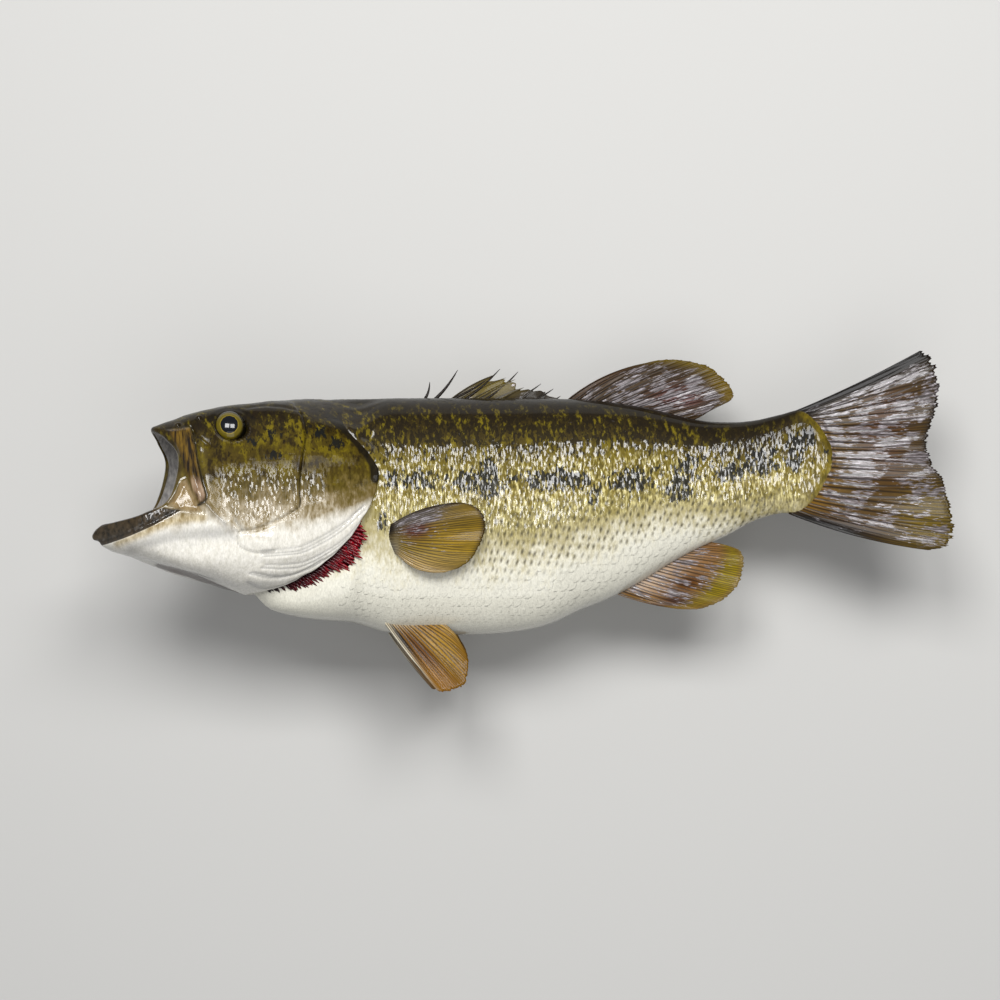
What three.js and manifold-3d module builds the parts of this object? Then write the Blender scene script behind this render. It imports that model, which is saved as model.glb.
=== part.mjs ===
// A largemouth bass as a taxidermist mounts it: a still, life-size skin mount that hangs flat on a wall.
// The fish swims toward -X with its back up, its left flank faces -Y, and the wall is the plane y = 0.
// The origin is the middle of the flat back face of the hanger block, where the mount meets the wall.
//
// The fish is laid out straight first, in "fish" coordinates: x along the spine (head negative),
// y across it (left flank negative, wall side positive) and z up. Each piece is then posed: rolled
// about its length, and bent so that head and tail both turn away from the wall.
import * as THREE from 'three';
import { mergeVertices } from 'three/addons/utils/BufferGeometryUtils.js';
import Module from 'manifold-3d';

const wasm = await Module();
wasm.setup();

// ---------------------------------------------------------------- driving dimensions, millimetres
const SPINE_TO_WALL = 52;
const BLOCK = { length: 90, height: 48, depth: 30 };
const BLOCK_ON_FISH = { x: 8, z: 18 };
const ROLL = THREE.MathUtils.degToRad(8);
const HEAD_BEND = { start: 20, length: 90, turn: THREE.MathUtils.degToRad(20.5) };
const TAIL_BEND = { start: 80, length: 120, turn: THREE.MathUtils.degToRad(12) };
const GAP = 0.35;
const RING = 28;
const STALK_START = 146;
const EYE = { x: -142.8, y: 19.8, z: 36.8, radius: 9.2, flat: 0.7 };
const THICK = {
  lip: 3, snout: 6, maxilla: 4, jaw: 4.5, forehead: 9, cheek: 6, nape: 8,
  cover: [4.5, 1.6], membrane: [4.5, 1.4],
};
const THINNEST_WEB = 0.54;
const GILL_THICK = { out: 1.6, under: 0.4 };

// Body sections: place along the spine, top of the back, belly, half width, height of the widest line.
const BODY = [
  [-132.5, -50.7, -55, 3, -54],
  [-119.4, -45.8, -62.2, 7, -56],
  [-105.2, -29.9, -66.3, 13, -54],
  [-92.9, 17.9, -68.4, 19.5, -46],
  [-80.7, 41.9, -69.6, 26.5, -34],
  [-72, 58.3, -70.3, 32, -18],
  [-62.4, 58.7, -73.1, 35.4, -10],
  [-50.2, 59, -76.5, 38, -4],
  [-25.1, 59.4, -77.6, 39.2, -2],
  [5, 59.5, -78.4, 39.2, 0],
  [29, 59.5, -76.4, 38, 1],
  [46, 59.4, -72.4, 36.4, 2],
  [64, 58.8, -64.2, 33.6, 4],
  [80, 57.6, -57.9, 30, 5],
  [99, 54.9, -48, 25.2, 8],
  [116, 51, -37.4, 20.8, 11],
  [132, 47, -28.6, 17, 13],
  [150, 45.6, -20.4, 14, 15],
  [165, 46.6, -12.2, 12, 19],
  [180, 50, -7.8, 10, 22],
  [192, 52.4, -7.4, 7.6, 24],
  [202, 45, 1, 5.2, 25],
  [209, 33, 16, 2.4, 25],
];

// Long lines of the head, each from the lip back to the edge of the gill cover: x, half width, z.
const HEAD_LINES = {
  crown: [
    [-183.3, 0, 41.2], [-172.6, 0, 45.2], [-155.3, 0, 50.7],
    [-130.5, 0, 54.3], [-98.2, 0, 57.8], [-72.5, 0, 58.4],
  ],
  brow: [
    [-178.3, 11, 35.9], [-170.9, 13.5, 40.3], [-158.1, 17, 45.1],
    [-141.4, 20.5, 47.9], [-111.2, 26, 47.2], [-81.4, 29, 39.3],
  ],
  cheek: [
    [-172.5, 19, 22.3], [-164.8, 22, 25.8], [-149, 26.5, 26.9],
    [-125.2, 33, 24.3], [-97.9, 37.5, 23.9], [-70.5, 38.5, 21.1],
  ],
  corner: [
    [-178.9, 25, -2.4], [-169.5, 27.5, -2.2], [-156.1, 30, 0.2],
    [-131, 35, 3.4], [-99, 39, 5.7], [-64.9, 40, 7.9],
  ],
  jaw: [
    [-193.3, 22, -11.9], [-183, 24.5, -15], [-164.6, 28, -18.8],
    [-138.1, 33.5, -21.3], [-105.3, 37.5, -19.1], [-74.3, 38.5, -13.9],
  ],
  jawSide: [
    [-208.3, 13.5, -16.8], [-198.3, 17.5, -22.8], [-182.7, 21, -29.9],
    [-156.4, 26, -36.8], [-124.1, 31, -37.6], [-90, 32, -34.2],
  ],
  throat: [
    [-214.1, 6, -18.5], [-206.1, 9, -26.1], [-189.3, 12, -33.2],
    [-162.5, 15, -42.6], [-135.7, 19, -48.9], [-112.6, 18, -49.2],
  ],
  chin: [
    [-217.4, 0, -22.4], [-208, 0, -28.3], [-189.8, 0, -33.6],
    [-167.7, 0, -39.9], [-148.2, 0, -48], [-134.1, 0, -53.8],
  ],
};
const smoothLine = (points) =>
  new THREE.CatmullRomCurve3(points.map((p) => new THREE.Vector3(...p)), false, 'catmullrom', 0.5);
const HEAD_CURVES = Object.values(HEAD_LINES).map(smoothLine);
const LAST_LINE = HEAD_CURVES.length - 1;

// ---------------------------------------------------------------- pose
// Turns a point of one bend: how far it reaches along x, how far off the wall plane, and its angle.
function bendReach(bend, distance) {
  const radius = bend.length / bend.turn;
  if (distance <= bend.length) {
    const angle = distance / radius;
    return { reach: radius * Math.sin(angle), lift: radius * (1 - Math.cos(angle)), angle };
  }
  const beyond = distance - bend.length;
  return {
    reach: radius * Math.sin(bend.turn) + beyond * Math.cos(bend.turn),
    lift: radius * (1 - Math.cos(bend.turn)) + beyond * Math.sin(bend.turn),
    angle: bend.turn,
  };
}

// Fish coordinates to the mounted pose.
function pose(point) {
  const across = point.y * Math.cos(ROLL) + point.z * Math.sin(ROLL);
  const up = point.z * Math.cos(ROLL) - point.y * Math.sin(ROLL);
  let x = point.x;
  let lift = 0;
  let angle = 0;
  if (point.x < HEAD_BEND.start) {
    const bend = bendReach(HEAD_BEND, HEAD_BEND.start - point.x);
    x = HEAD_BEND.start - bend.reach;
    lift = bend.lift;
    angle = bend.angle;
  } else if (point.x > TAIL_BEND.start) {
    const bend = bendReach(TAIL_BEND, point.x - TAIL_BEND.start);
    x = TAIL_BEND.start + bend.reach;
    lift = bend.lift;
    angle = -bend.angle;
  }
  return new THREE.Vector3(
    x - across * Math.sin(angle) - BLOCK_ON_FISH.x,
    -SPINE_TO_WALL - lift + across * Math.cos(angle),
    up - BLOCK_ON_FISH.z
  );
}

// ---------------------------------------------------------------- solids
// A closed solid from rings of points, each end closed by a fan from its middle.
function loft(rings) {
  const count = rings[0].length;
  const points = rings.flat();
  const triangles = [];
  for (let i = 0; i + 1 < rings.length; i += 1) {
    for (let k = 0; k < count; k += 1) {
      const a = i * count + k;
      const b = i * count + ((k + 1) % count);
      triangles.push(a, b, b + count, a, b + count, a + count);
    }
  }
  [0, rings.length - 1].forEach((i) => {
    const middle = rings[i].reduce((sum, p) => sum.add(p), new THREE.Vector3()).divideScalar(count);
    const centre = points.push(middle) - 1;
    for (let k = 0; k < count; k += 1) {
      const a = i * count + k;
      const b = i * count + ((k + 1) % count);
      triangles.push(...(i === 0 ? [centre, b, a] : [centre, a, b]));
    }
  });
  return closed(points, triangles);
}

// A closed plate between an outer and an inner sheet of points with the same rows and columns.
function plate(outer, inner) {
  const rows = outer.length;
  const cols = outer[0].length;
  const points = [...outer.flat(), ...inner.flat()];
  const below = rows * cols;
  const triangles = [];
  const quad = (a, b, c, d) => triangles.push(a, b, c, a, c, d);
  for (let i = 0; i + 1 < rows; i += 1) {
    for (let k = 0; k + 1 < cols; k += 1) {
      const a = i * cols + k;
      quad(a, a + 1, a + 1 + cols, a + cols);
      quad(below + a, below + a + cols, below + a + 1 + cols, below + a + 1);
    }
  }
  for (let k = 0; k + 1 < cols; k += 1) {
    const last = (rows - 1) * cols + k;
    quad(k + 1, k, below + k, below + k + 1);
    quad(last, last + 1, below + last + 1, below + last);
  }
  for (let i = 0; i + 1 < rows; i += 1) {
    const a = i * cols;
    const b = a + cols - 1;
    quad(a, a + cols, below + a + cols, below + a);
    quad(b + cols, b, below + b, below + b + cols);
  }
  return closed(points, triangles);
}

// Points and triangles to a geometry with its faces pointing out.
function closed(points, triangles) {
  let volume = 0;
  for (let i = 0; i < triangles.length; i += 3) {
    const [a, b, c] = [points[triangles[i]], points[triangles[i + 1]], points[triangles[i + 2]]];
    volume += a.dot(new THREE.Vector3().crossVectors(b, c));
  }
  if (volume < 0) {
    for (let i = 0; i < triangles.length; i += 3) {
      [triangles[i], triangles[i + 1]] = [triangles[i + 1], triangles[i]];
    }
  }
  const geometry = new THREE.BufferGeometry().setFromPoints(points);
  geometry.setIndex(triangles);
  return geometry;
}

function toSolid(geometry) {
  const bare = geometry.clone();
  bare.deleteAttribute('normal');
  bare.deleteAttribute('uv');
  const merged = mergeVertices(bare, 1e-4);
  return new wasm.Manifold(
    new wasm.Mesh({
      numProp: 3,
      vertProperties: new Float32Array(merged.getAttribute('position').array),
      triVerts: new Uint32Array(merged.getIndex().array),
    })
  );
}

function toGeometry(solid) {
  const mesh = solid.getMesh();
  const geometry = new THREE.BufferGeometry();
  geometry.setAttribute('position', new THREE.BufferAttribute(new Float32Array(mesh.vertProperties), 3));
  geometry.setIndex(new THREE.BufferAttribute(new Uint32Array(mesh.triVerts), 1));
  return geometry;
}

// What is left of a piece after the tools are taken away: its largest body, without loose slivers.
function cut(geometry, ...tools) {
  const rest = tools.reduce((solid, tool) => solid.subtract(toSolid(tool)), toSolid(geometry));
  return toGeometry(rest.decompose().reduce((best, part) => (part.volume() > best.volume() ? part : best)));
}

function posed(geometry) {
  const at = geometry.getAttribute('position');
  const result = geometry.clone();
  const placeOf = (i) => pose(new THREE.Vector3().fromBufferAttribute(at, i));
  const moved = Array.from({ length: at.count }, (_, i) => placeOf(i));
  result.setAttribute('position', new THREE.Float32BufferAttribute(moved.flatMap((p) => p.toArray()), 3));
  result.deleteAttribute('normal');
  result.deleteAttribute('uv');
  return result;
}

// The same solid on the other flank.
function mirrored(geometry) {
  const flipped = geometry.clone();
  flipped.applyMatrix4(new THREE.Matrix4().makeScale(1, -1, 1));
  const order = Array.from(flipped.getIndex().array);
  for (let i = 0; i < order.length; i += 3) {
    [order[i], order[i + 1]] = [order[i + 1], order[i]];
  }
  flipped.setIndex(order);
  return flipped;
}

// ---------------------------------------------------------------- trunk and tail stalk
// A value of the body table at one place along the spine, on a smooth line through its rows.
function bodyValue(x, column) {
  const i = THREE.MathUtils.clamp(BODY.filter(([at]) => at <= x).length - 1, 0, BODY.length - 2);
  const row = (k) => BODY[THREE.MathUtils.clamp(k, 0, BODY.length - 1)];
  const [p0, p1, p2, p3] = [row(i - 1), row(i), row(i + 1), row(i + 2)];
  const t = (x - p1[0]) / (p2[0] - p1[0]);
  const slope = (a, b) => (b[0] === a[0] ? 0 : ((b[column] - a[column]) / (b[0] - a[0])) * (p2[0] - p1[0]));
  const m1 = slope(p0, p2);
  const m2 = slope(p1, p3);
  const t2 = t * t;
  const t3 = t2 * t;
  const from = (2 * t3 - 3 * t2 + 1) * p1[column] + (t3 - 2 * t2 + t) * m1;
  return from + (3 * t2 - 2 * t3) * p2[column] + (t3 - t2) * m2;
}

// One ring round the body, swelled by grow.
function bodyRing(x, grow = 0) {
  const [top, belly, half, wide] = [1, 2, 3, 4].map((column) => bodyValue(x, column));
  return Array.from({ length: RING }, (_, k) => {
    const angle = (k / RING) * 2 * Math.PI;
    const round = (value) => Math.sign(value) * Math.abs(value) ** 0.9;
    const up = Math.cos(angle) > 0 ? top - wide + grow : wide - belly + grow;
    return new THREE.Vector3(x, (half + grow) * round(Math.sin(angle)), wide + up * round(Math.cos(angle)));
  });
}

const bodyPlaces = (from, to) => {
  const between = BODY.map((row) => row[0]).filter((x) => x > from + 2 && x < to - 2);
  return [from, ...between, to];
};
const bodySolid = (from, to, grow = 0) => loft(bodyPlaces(from, to).map((x) => bodyRing(x, grow)));
const bodyClearance = bodySolid(BODY[0][0], BODY.at(-1)[0], GAP);

// ---------------------------------------------------------------- head plates
// A point of the head's surface: along runs 0 at the lip to 1 at the gill opening, and line counts
// the long lines from 0 at the crown to 7 at the chin. Depth goes in toward the middle of the mouth
// and a little back.
function headPoint(along, line, depth = 0) {
  const half = HEAD_CURVES.map((curve) => curve.getPoint(along));
  const loop = [...half, ...half.slice(1, -1).reverse().map((p) => new THREE.Vector3(p.x, -p.y, p.z))];
  const ring = new THREE.CatmullRomCurve3(loop, true, 'catmullrom', 0.5);
  const point = ring.getPoint((line < 0 ? line + loop.length : line) / loop.length);
  const inward = half[0].clone().lerp(half[LAST_LINE], 0.5).sub(point).setX(0).normalize();
  return point.addScaledVector(inward.setX(DEPTH_LEANS_BACK), depth);
}

// A plate of the head between two long lines, from one place along them to another.
function headPlate({ lines, cols, from, to, rows, thick }) {
  const sheet = (inner) =>
    Array.from({ length: rows + 1 }, (_, i) =>
      Array.from({ length: cols + 1 }, (_, k) => {
        const line = THREE.MathUtils.lerp(lines[0], lines[1], k / cols);
        const along = THREE.MathUtils.lerp(from(Math.abs(line)), to(Math.abs(line)), i / rows);
        return headPoint(along, line, inner ? thick(along) : 0);
      })
    );
  return plate(sheet(false), sheet(true));
}

const fixed = (value) => () => value;
const LIP = 0.1;
const SNOUT_END = 0.3;
const CHEEK_END = 0.72;
const SEAM = 0.008;
const LINE_SEAM = 0.035;
const DEPTH_LEANS_BACK = 0.3;
// The back end of the lower jaw slants from the corner of the mouth down to the throat.
const jawEnd = (line) => THREE.MathUtils.mapLinear(line, 3.2, 7, SNOUT_END, 0.6);

const socket = new THREE.SphereGeometry(EYE.radius + GAP, 12, 8);
socket.scale(1, EYE.flat + 0.1, 1);
socket.translate(EYE.x, EYE.y, EYE.z);

const upperLip = headPlate({
  lines: [-3 + LINE_SEAM, 3 - LINE_SEAM], cols: 18, from: fixed(0), to: fixed(LIP), rows: 1,
  thick: fixed(THICK.lip),
});
const snout = headPlate({
  lines: [-1.2, 1.2], cols: 8, from: fixed(LIP + SEAM), to: fixed(SNOUT_END), rows: 2,
  thick: fixed(THICK.snout),
});
const maxilla = headPlate({
  lines: [1.2 + LINE_SEAM, 3.2 - LINE_SEAM], cols: 8, from: fixed(LIP + SEAM), to: fixed(SNOUT_END), rows: 2,
  thick: fixed(THICK.maxilla),
});
const lowerJaw = headPlate({
  lines: [3.2, 10.8], cols: 24, from: fixed(0), to: (line) => jawEnd(line > 7 ? 14 - line : line), rows: 4,
  thick: fixed(THICK.jaw),
});
const forehead = headPlate({
  lines: [-1.95, 1.95], cols: 12, from: fixed(SNOUT_END + SEAM), to: fixed(CHEEK_END), rows: 5,
  thick: fixed(THICK.forehead),
});
const cheek = headPlate({
  lines: [1.95 + LINE_SEAM, 4.1], cols: 8, from: (line) => Math.max(SNOUT_END, jawEnd(line)) + SEAM,
  to: fixed(CHEEK_END), rows: 5, thick: fixed(THICK.cheek),
});
const nape = headPlate({
  lines: [-1.1, 1.1], cols: 8, from: fixed(CHEEK_END + SEAM), to: fixed(1), rows: 3,
  thick: fixed(THICK.nape),
});
const gillCover = headPlate({
  lines: [1.1 + LINE_SEAM, 4.1], cols: 11, from: fixed(CHEEK_END + SEAM), to: fixed(1), rows: 4,
  thick: (along) => THREE.MathUtils.mapLinear(along, CHEEK_END, 1, ...THICK.cover),
});
const gillMembrane = headPlate({
  lines: [4.1 + LINE_SEAM, 7 - LINE_SEAM], cols: 12, from: (line) => jawEnd(line) + SEAM, to: fixed(1),
  rows: 7,
  thick: (along) => THREE.MathUtils.mapLinear(along, 0.4, 1, ...THICK.membrane),
});

// The red gills: a ribbon that follows the edge of the gill cover and shows below and behind it.
const GILL_EDGE = [
  [-73.9, 35, -12], [-75.4, 33.6, -30.1], [-82.7, 28.5, -41.4],
  [-94.4, 21.5, -48.6], [-109.1, 13.6, -52.6], [-120.9, 7.5, -53.7],
];
const GILL_ROOT = [
  [-82.5, 31, -10], [-86.6, 29, -23.9], [-94.5, 24.5, -33.9],
  [-104.3, 18, -40.8], [-116, 11, -45.8], [-125.7, 5, -49.7],
];
function gillRibbon() {
  const leftFlank = (line) => smoothLine(line.map(([x, y, z]) => [x, -y, z]));
  const [edge, root] = [leftFlank(GILL_EDGE), leftFlank(GILL_ROOT)];
  const sheet = (lift) =>
    [0, 0.5, 1].map((across) =>
      Array.from({ length: 11 }, (_, i) => {
        const point = root.getPoint(i / 10).lerp(edge.getPoint(i / 10), across);
        return point.add(new THREE.Vector3(0, -lift * 0.8, -lift * 0.6));
      })
    );
  return plate(sheet(GILL_THICK.out), sheet(-GILL_THICK.under));
}

// ---------------------------------------------------------------- fins
// A fin of stiff rays with thin web between them. Base and tip are lines of [x, z] or [x, y, z] points.
function fin({ base, tip, rays, rows = 3, thick, notch }) {
  const line = (points) => smoothLine(points.map((p) => (p.length === 2 ? [p[0], 0, p[1]] : p)));
  const [foot, end] = [line(base), line(tip)];
  const cols = (rays - 1) * 2;
  const sheet = (face) =>
    Array.from({ length: rows + 1 }, (_, i) =>
      Array.from({ length: cols + 1 }, (_, k) => {
        const web = k % 2 === 1;
        const out = (i / rows) * (web ? 1 - notch : 1);
        const point = foot.getPoint(k / cols).lerp(end.getPoint(k / cols), out);
        const full = THREE.MathUtils.lerp(thick[0], thick[1], out) * (web ? 0.6 : 1);
        return point.add(new THREE.Vector3(0, (face * Math.max(full, THINNEST_WEB)) / 2, 0));
      })
    );
  return plate(sheet(-1), sheet(1));
}

const spinyDorsal = fin({
  base: [[-27, 56], [-2, 56.5], [26, 56.5], [50, 56.4]],
  tip: [[-22, 70], [-6, 77], [17, 78], [28, 76], [41, 69], [53, 62]],
  rays: 10, rows: 2, notch: 0.3, thick: [2.4, 1],
});
const softDorsal = fin({
  base: [[53, 56], [76, 55], [99, 52], [121, 46]],
  tip: [[64, 66.4], [99, 80.6], [122, 83.2], [140, 79.4], [151, 68], [153, 61], [146, 56.8], [136, 54]],
  rays: 13, notch: 0.03, thick: [2.6, 0.9],
});
const analFin = fin({
  base: [[80, -54], [98, -45], [116, -34], [132, -25.5]],
  tip: [
    [88, -60.4], [116, -62.4], [134, -63.6], [148, -58], [158, -46], [159.4, -36], [155, -28], [143, -26.6],
  ],
  rays: 12, notch: 0.03, thick: [2.6, 0.9],
});
const tailFin = fin({
  base: [[187, 53.5], [198, 45], [203, 26], [198, 4], [188, -9]],
  tip: [
    [262, 88.5], [268, 79], [271, 64], [267, 46], [264.3, 31],
    [268.5, 18], [275.5, 5], [278.8, -15], [268, -29.2],
  ],
  rays: 18, rows: 3, notch: 0.02, thick: [4, 0.9],
});
const pectoralFin = fin({
  base: [[-57.6, -36.5, -19], [-56.6, -36, -27], [-53.5, -34, -37.9]],
  tip: [
    [-37.1, -41.5, -12.5], [-10.7, -44, -7.4], [4.4, -45, -13], [7.1, -45, -22],
    [-0.8, -44, -38], [-18.5, -42, -46.5], [-43.4, -38, -43],
  ],
  rays: 10, notch: 0.03, thick: [2.4, 0.8],
});
const pelvicFin = fin({
  base: [[-58.5, -11, -68.9], [-47.2, -11, -69.9], [-32.9, -11.5, -70.9]],
  tip: [
    [-23.9, -24, -112.5], [-16.1, -24, -112], [-5.8, -23.5, -109.6], [-3.6, -20, -96], [-9.6, -16, -82],
  ],
  rays: 8, notch: 0.03, thick: [2.8, 1],
});

// ---------------------------------------------------------------- hanger on the wall side
function box(size, at) {
  const geometry = new THREE.BoxGeometry(...size);
  geometry.translate(...at);
  return geometry;
}
const PLATE = { length: 44, height: 14, thick: 1.6, z: 13 };
const SLOT = { length: 16, height: 5, z: 12.5, pocket: 6 };
const SCREW = { head: 3.2, neck: 1.9, top: 0.4, shank: 1.7, length: 11, spread: 17 };
function screw(x, grow = 0) {
  const profile = [
    [0, -SCREW.length - grow], [SCREW.shank + grow, -SCREW.length - grow], [SCREW.shank + grow, -SCREW.neck],
    [SCREW.head + grow, -SCREW.top + grow * SCREW.top], [0, -SCREW.top + grow * SCREW.top],
  ].map(([r, y]) => new THREE.Vector2(r, y));
  const geometry = new THREE.LatheGeometry(profile, 12);
  geometry.translate(x, 0, PLATE.z);
  return geometry;
}
const screws = [-SCREW.spread, SCREW.spread];
// Behind the plate's slot the block has a pocket for the head of the nail or screw in the wall.
const slot = box([SLOT.length, 3 * PLATE.thick, SLOT.height], [0, -PLATE.thick, SLOT.z]);
const nailPocket = box([SLOT.length + 2, 2 * SLOT.pocket, SLOT.height + 2], [0, 0, SLOT.z]);
const plateSeat = box(
  [PLATE.length + 2 * GAP, 2 * (PLATE.thick + GAP), PLATE.height + 2 * GAP], [0, 0, PLATE.z]
);
const block = cut(
  box([BLOCK.length, BLOCK.depth, BLOCK.height], [0, -BLOCK.depth / 2, 0]),
  plateSeat,
  nailPocket,
  ...screws.map((x) => screw(x, GAP))
);
const hangerPlate = cut(
  box([PLATE.length, PLATE.thick - GAP, PLATE.height], [0, -(PLATE.thick + GAP) / 2, PLATE.z]),
  slot,
  ...screws.map((x) => screw(x, GAP))
);
const blockPocket = box(
  [BLOCK.length + 2 * GAP, BLOCK.depth + 2 * GAP, BLOCK.height + 2 * GAP], [0, -BLOCK.depth / 2, 0]
);

// ---------------------------------------------------------------- the mount
const group = new THREE.Group();
function add(name, geometry, color, roughness = 0.25, metalness = 0) {
  const mesh = new THREE.Mesh(geometry, new THREE.MeshStandardMaterial({ color, roughness, metalness }));
  mesh.name = name;
  group.add(mesh);
}
const OLIVE = 0x5a4f1e;
const GOLD = 0x8a7a30;
const IVORY = 0xd9d3bd;
const AMBER = 0x9a6a22;

add('trunk', cut(posed(bodySolid(BODY[0][0], STALK_START)), blockPocket), GOLD);
add('tail_stalk', posed(bodySolid(STALK_START + GAP, BODY.at(-1)[0])), GOLD);

add('upper_lip', posed(upperLip), 0x6b5a4a);
add('snout', posed(snout), OLIVE);
add('forehead', posed(cut(forehead, socket, mirrored(socket))), OLIVE);
add('nape', posed(cut(nape, bodyClearance)), OLIVE);
add('lower_jaw', posed(lowerJaw), IVORY);

const left = {
  maxilla: [maxilla, AMBER],
  cheek: [cut(cheek, mirrored(socket), socket), GOLD],
  gill_cover: [cut(gillCover, bodyClearance), OLIVE],
  gill_membrane: [cut(gillMembrane, bodyClearance), IVORY],
};
Object.entries(left).forEach(([name, [geometry, color]]) => {
  add(`${name}_right`, posed(geometry), color);
  add(`${name}_left`, posed(mirrored(geometry)), color);
});

const gills = cut(gillRibbon(), bodyClearance);
add('gills_left', posed(gills), 0x8a0a1c, 0.3);
add('gills_right', posed(mirrored(gills)), 0x8a0a1c, 0.3);

const eye = new THREE.SphereGeometry(EYE.radius - 0.1, 12, 8);
eye.scale(1, EYE.flat, 1);
eye.translate(EYE.x, -EYE.y, EYE.z);
add('eye_left', posed(eye), 0x1a1a20, 0.05);
add('eye_right', posed(mirrored(eye)), 0x1a1a20, 0.05);

add('dorsal_fin_spiny', posed(cut(spinyDorsal, bodyClearance)), 0x4a3a1a);
add('dorsal_fin_soft', posed(cut(softDorsal, bodyClearance)), 0x5c4424);
add('anal_fin', posed(cut(analFin, bodyClearance)), 0x8a6030);
add('tail_fin', posed(cut(tailFin, bodyClearance)), 0x6a4820);
const pectoral = cut(pectoralFin, bodyClearance);
add('pectoral_fin_left', posed(pectoral), AMBER);
add('pectoral_fin_right', posed(mirrored(pectoral)), AMBER);
const pelvic = cut(pelvicFin, bodyClearance);
add('pelvic_fin_left', posed(pelvic), AMBER);
add('pelvic_fin_right', posed(mirrored(pelvic)), AMBER);

add('hanger_block', block, 0x9c7a4e, 0.7);
add('hanger_plate', hangerPlate, 0xa8a8a4, 0.35, 1);
screws.forEach((x, i) => add(`screw_${i + 1}`, screw(x), 0xa8a8a4, 0.35, 1));

export default group;
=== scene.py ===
"""A life-size mounted largemouth bass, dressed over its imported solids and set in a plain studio.

The fish is laid out straight, in millimetres: x along the spine with the head negative, y across it
with the left flank negative, z up. Everything is then rolled and bent into the mounted pose and
carried to the hanger block, which holds the fish on the wall.
"""

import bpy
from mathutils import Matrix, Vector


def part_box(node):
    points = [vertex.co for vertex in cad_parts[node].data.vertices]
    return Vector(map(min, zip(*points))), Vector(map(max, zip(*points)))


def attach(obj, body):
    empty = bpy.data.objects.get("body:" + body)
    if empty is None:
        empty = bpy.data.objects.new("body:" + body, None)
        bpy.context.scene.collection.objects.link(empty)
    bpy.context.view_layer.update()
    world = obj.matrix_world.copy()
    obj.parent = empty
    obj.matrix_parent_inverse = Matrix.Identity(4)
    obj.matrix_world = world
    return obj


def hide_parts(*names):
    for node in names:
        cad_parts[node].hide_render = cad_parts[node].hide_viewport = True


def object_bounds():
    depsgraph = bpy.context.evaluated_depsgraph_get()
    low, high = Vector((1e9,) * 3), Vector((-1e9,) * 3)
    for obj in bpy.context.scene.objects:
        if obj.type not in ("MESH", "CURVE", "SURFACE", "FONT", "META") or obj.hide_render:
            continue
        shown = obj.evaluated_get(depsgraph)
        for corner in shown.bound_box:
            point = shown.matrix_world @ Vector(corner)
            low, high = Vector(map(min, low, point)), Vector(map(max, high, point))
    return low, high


bl_info = {
    "name": "Mounted Largemouth Bass",
    "version": (1, 0, 0),
    "blender": (4, 5, 0),
    "location": "View3D > Sidebar > Bass",
    "description": "Builds the skin, scales, fins, gills and eyes of a mounted bass over its solids",
    "category": "Object",
}

from functools import lru_cache
from math import cos, pi, radians, sin

import bpy
import numpy as np
from mathutils.kdtree import KDTree

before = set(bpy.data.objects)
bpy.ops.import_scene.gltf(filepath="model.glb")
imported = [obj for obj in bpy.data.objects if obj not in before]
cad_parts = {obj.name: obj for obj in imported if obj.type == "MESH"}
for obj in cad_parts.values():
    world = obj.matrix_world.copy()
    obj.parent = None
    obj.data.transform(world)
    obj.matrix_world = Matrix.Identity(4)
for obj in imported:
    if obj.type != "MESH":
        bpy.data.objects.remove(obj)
CAD_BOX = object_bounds()

MM = 0.001
BLOCK_LOW, BLOCK_HIGH = (np.array(corner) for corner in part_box("hanger_block"))

# Where the fish's own origin lies from the middle of the hanger block's back face, mm.
FISH_FROM_HANGER = np.array([-8.0, -52.0, -18.0])

# Body sections: place along the spine, top of the back, belly, half width, height of the widest line.
BODY = np.array([
    [-132.5, -50.7, -55, 3, -54],
    [-119.4, -45.8, -62.2, 9, -56],
    [-105.2, -29.9, -66.3, 16, -54],
    [-92.9, 17.9, -68.4, 23, -46],
    [-80.7, 41.9, -69.6, 29.5, -34],
    [-72, 58.3, -70.3, 32, -18],
    [-62.4, 58.7, -73.1, 35.4, -10],
    [-50.2, 59, -76.5, 38, -4],
    [-25.1, 59.4, -77.6, 39.2, -2],
    [5, 59.5, -78.4, 39.2, 0],
    [29, 59.5, -76.4, 38, 1],
    [46, 59.4, -72.4, 36.4, 2],
    [64, 58.8, -64.2, 33.6, 4],
    [80, 57.6, -57.9, 30, 5],
    [99, 54.9, -48, 25.2, 8],
    [116, 51, -37.4, 20.8, 11],
    [132, 47, -28.6, 17, 13],
    [150, 45.6, -20.4, 14, 15],
    [165, 46.6, -12.2, 12, 19],
    [180, 50, -7.8, 9, 22],
    [192, 52.4, -7.4, 6.2, 24],
    [202, 45, 1, 4, 25],
    [209, 33, 16, 1.9, 25],
])

# The core line behind the head: places along the spine, then heights.
CORE = [(-134, -119, -105, -93, -80, -45), (-54, -53, -47, -41, -33, -18)]

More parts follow.
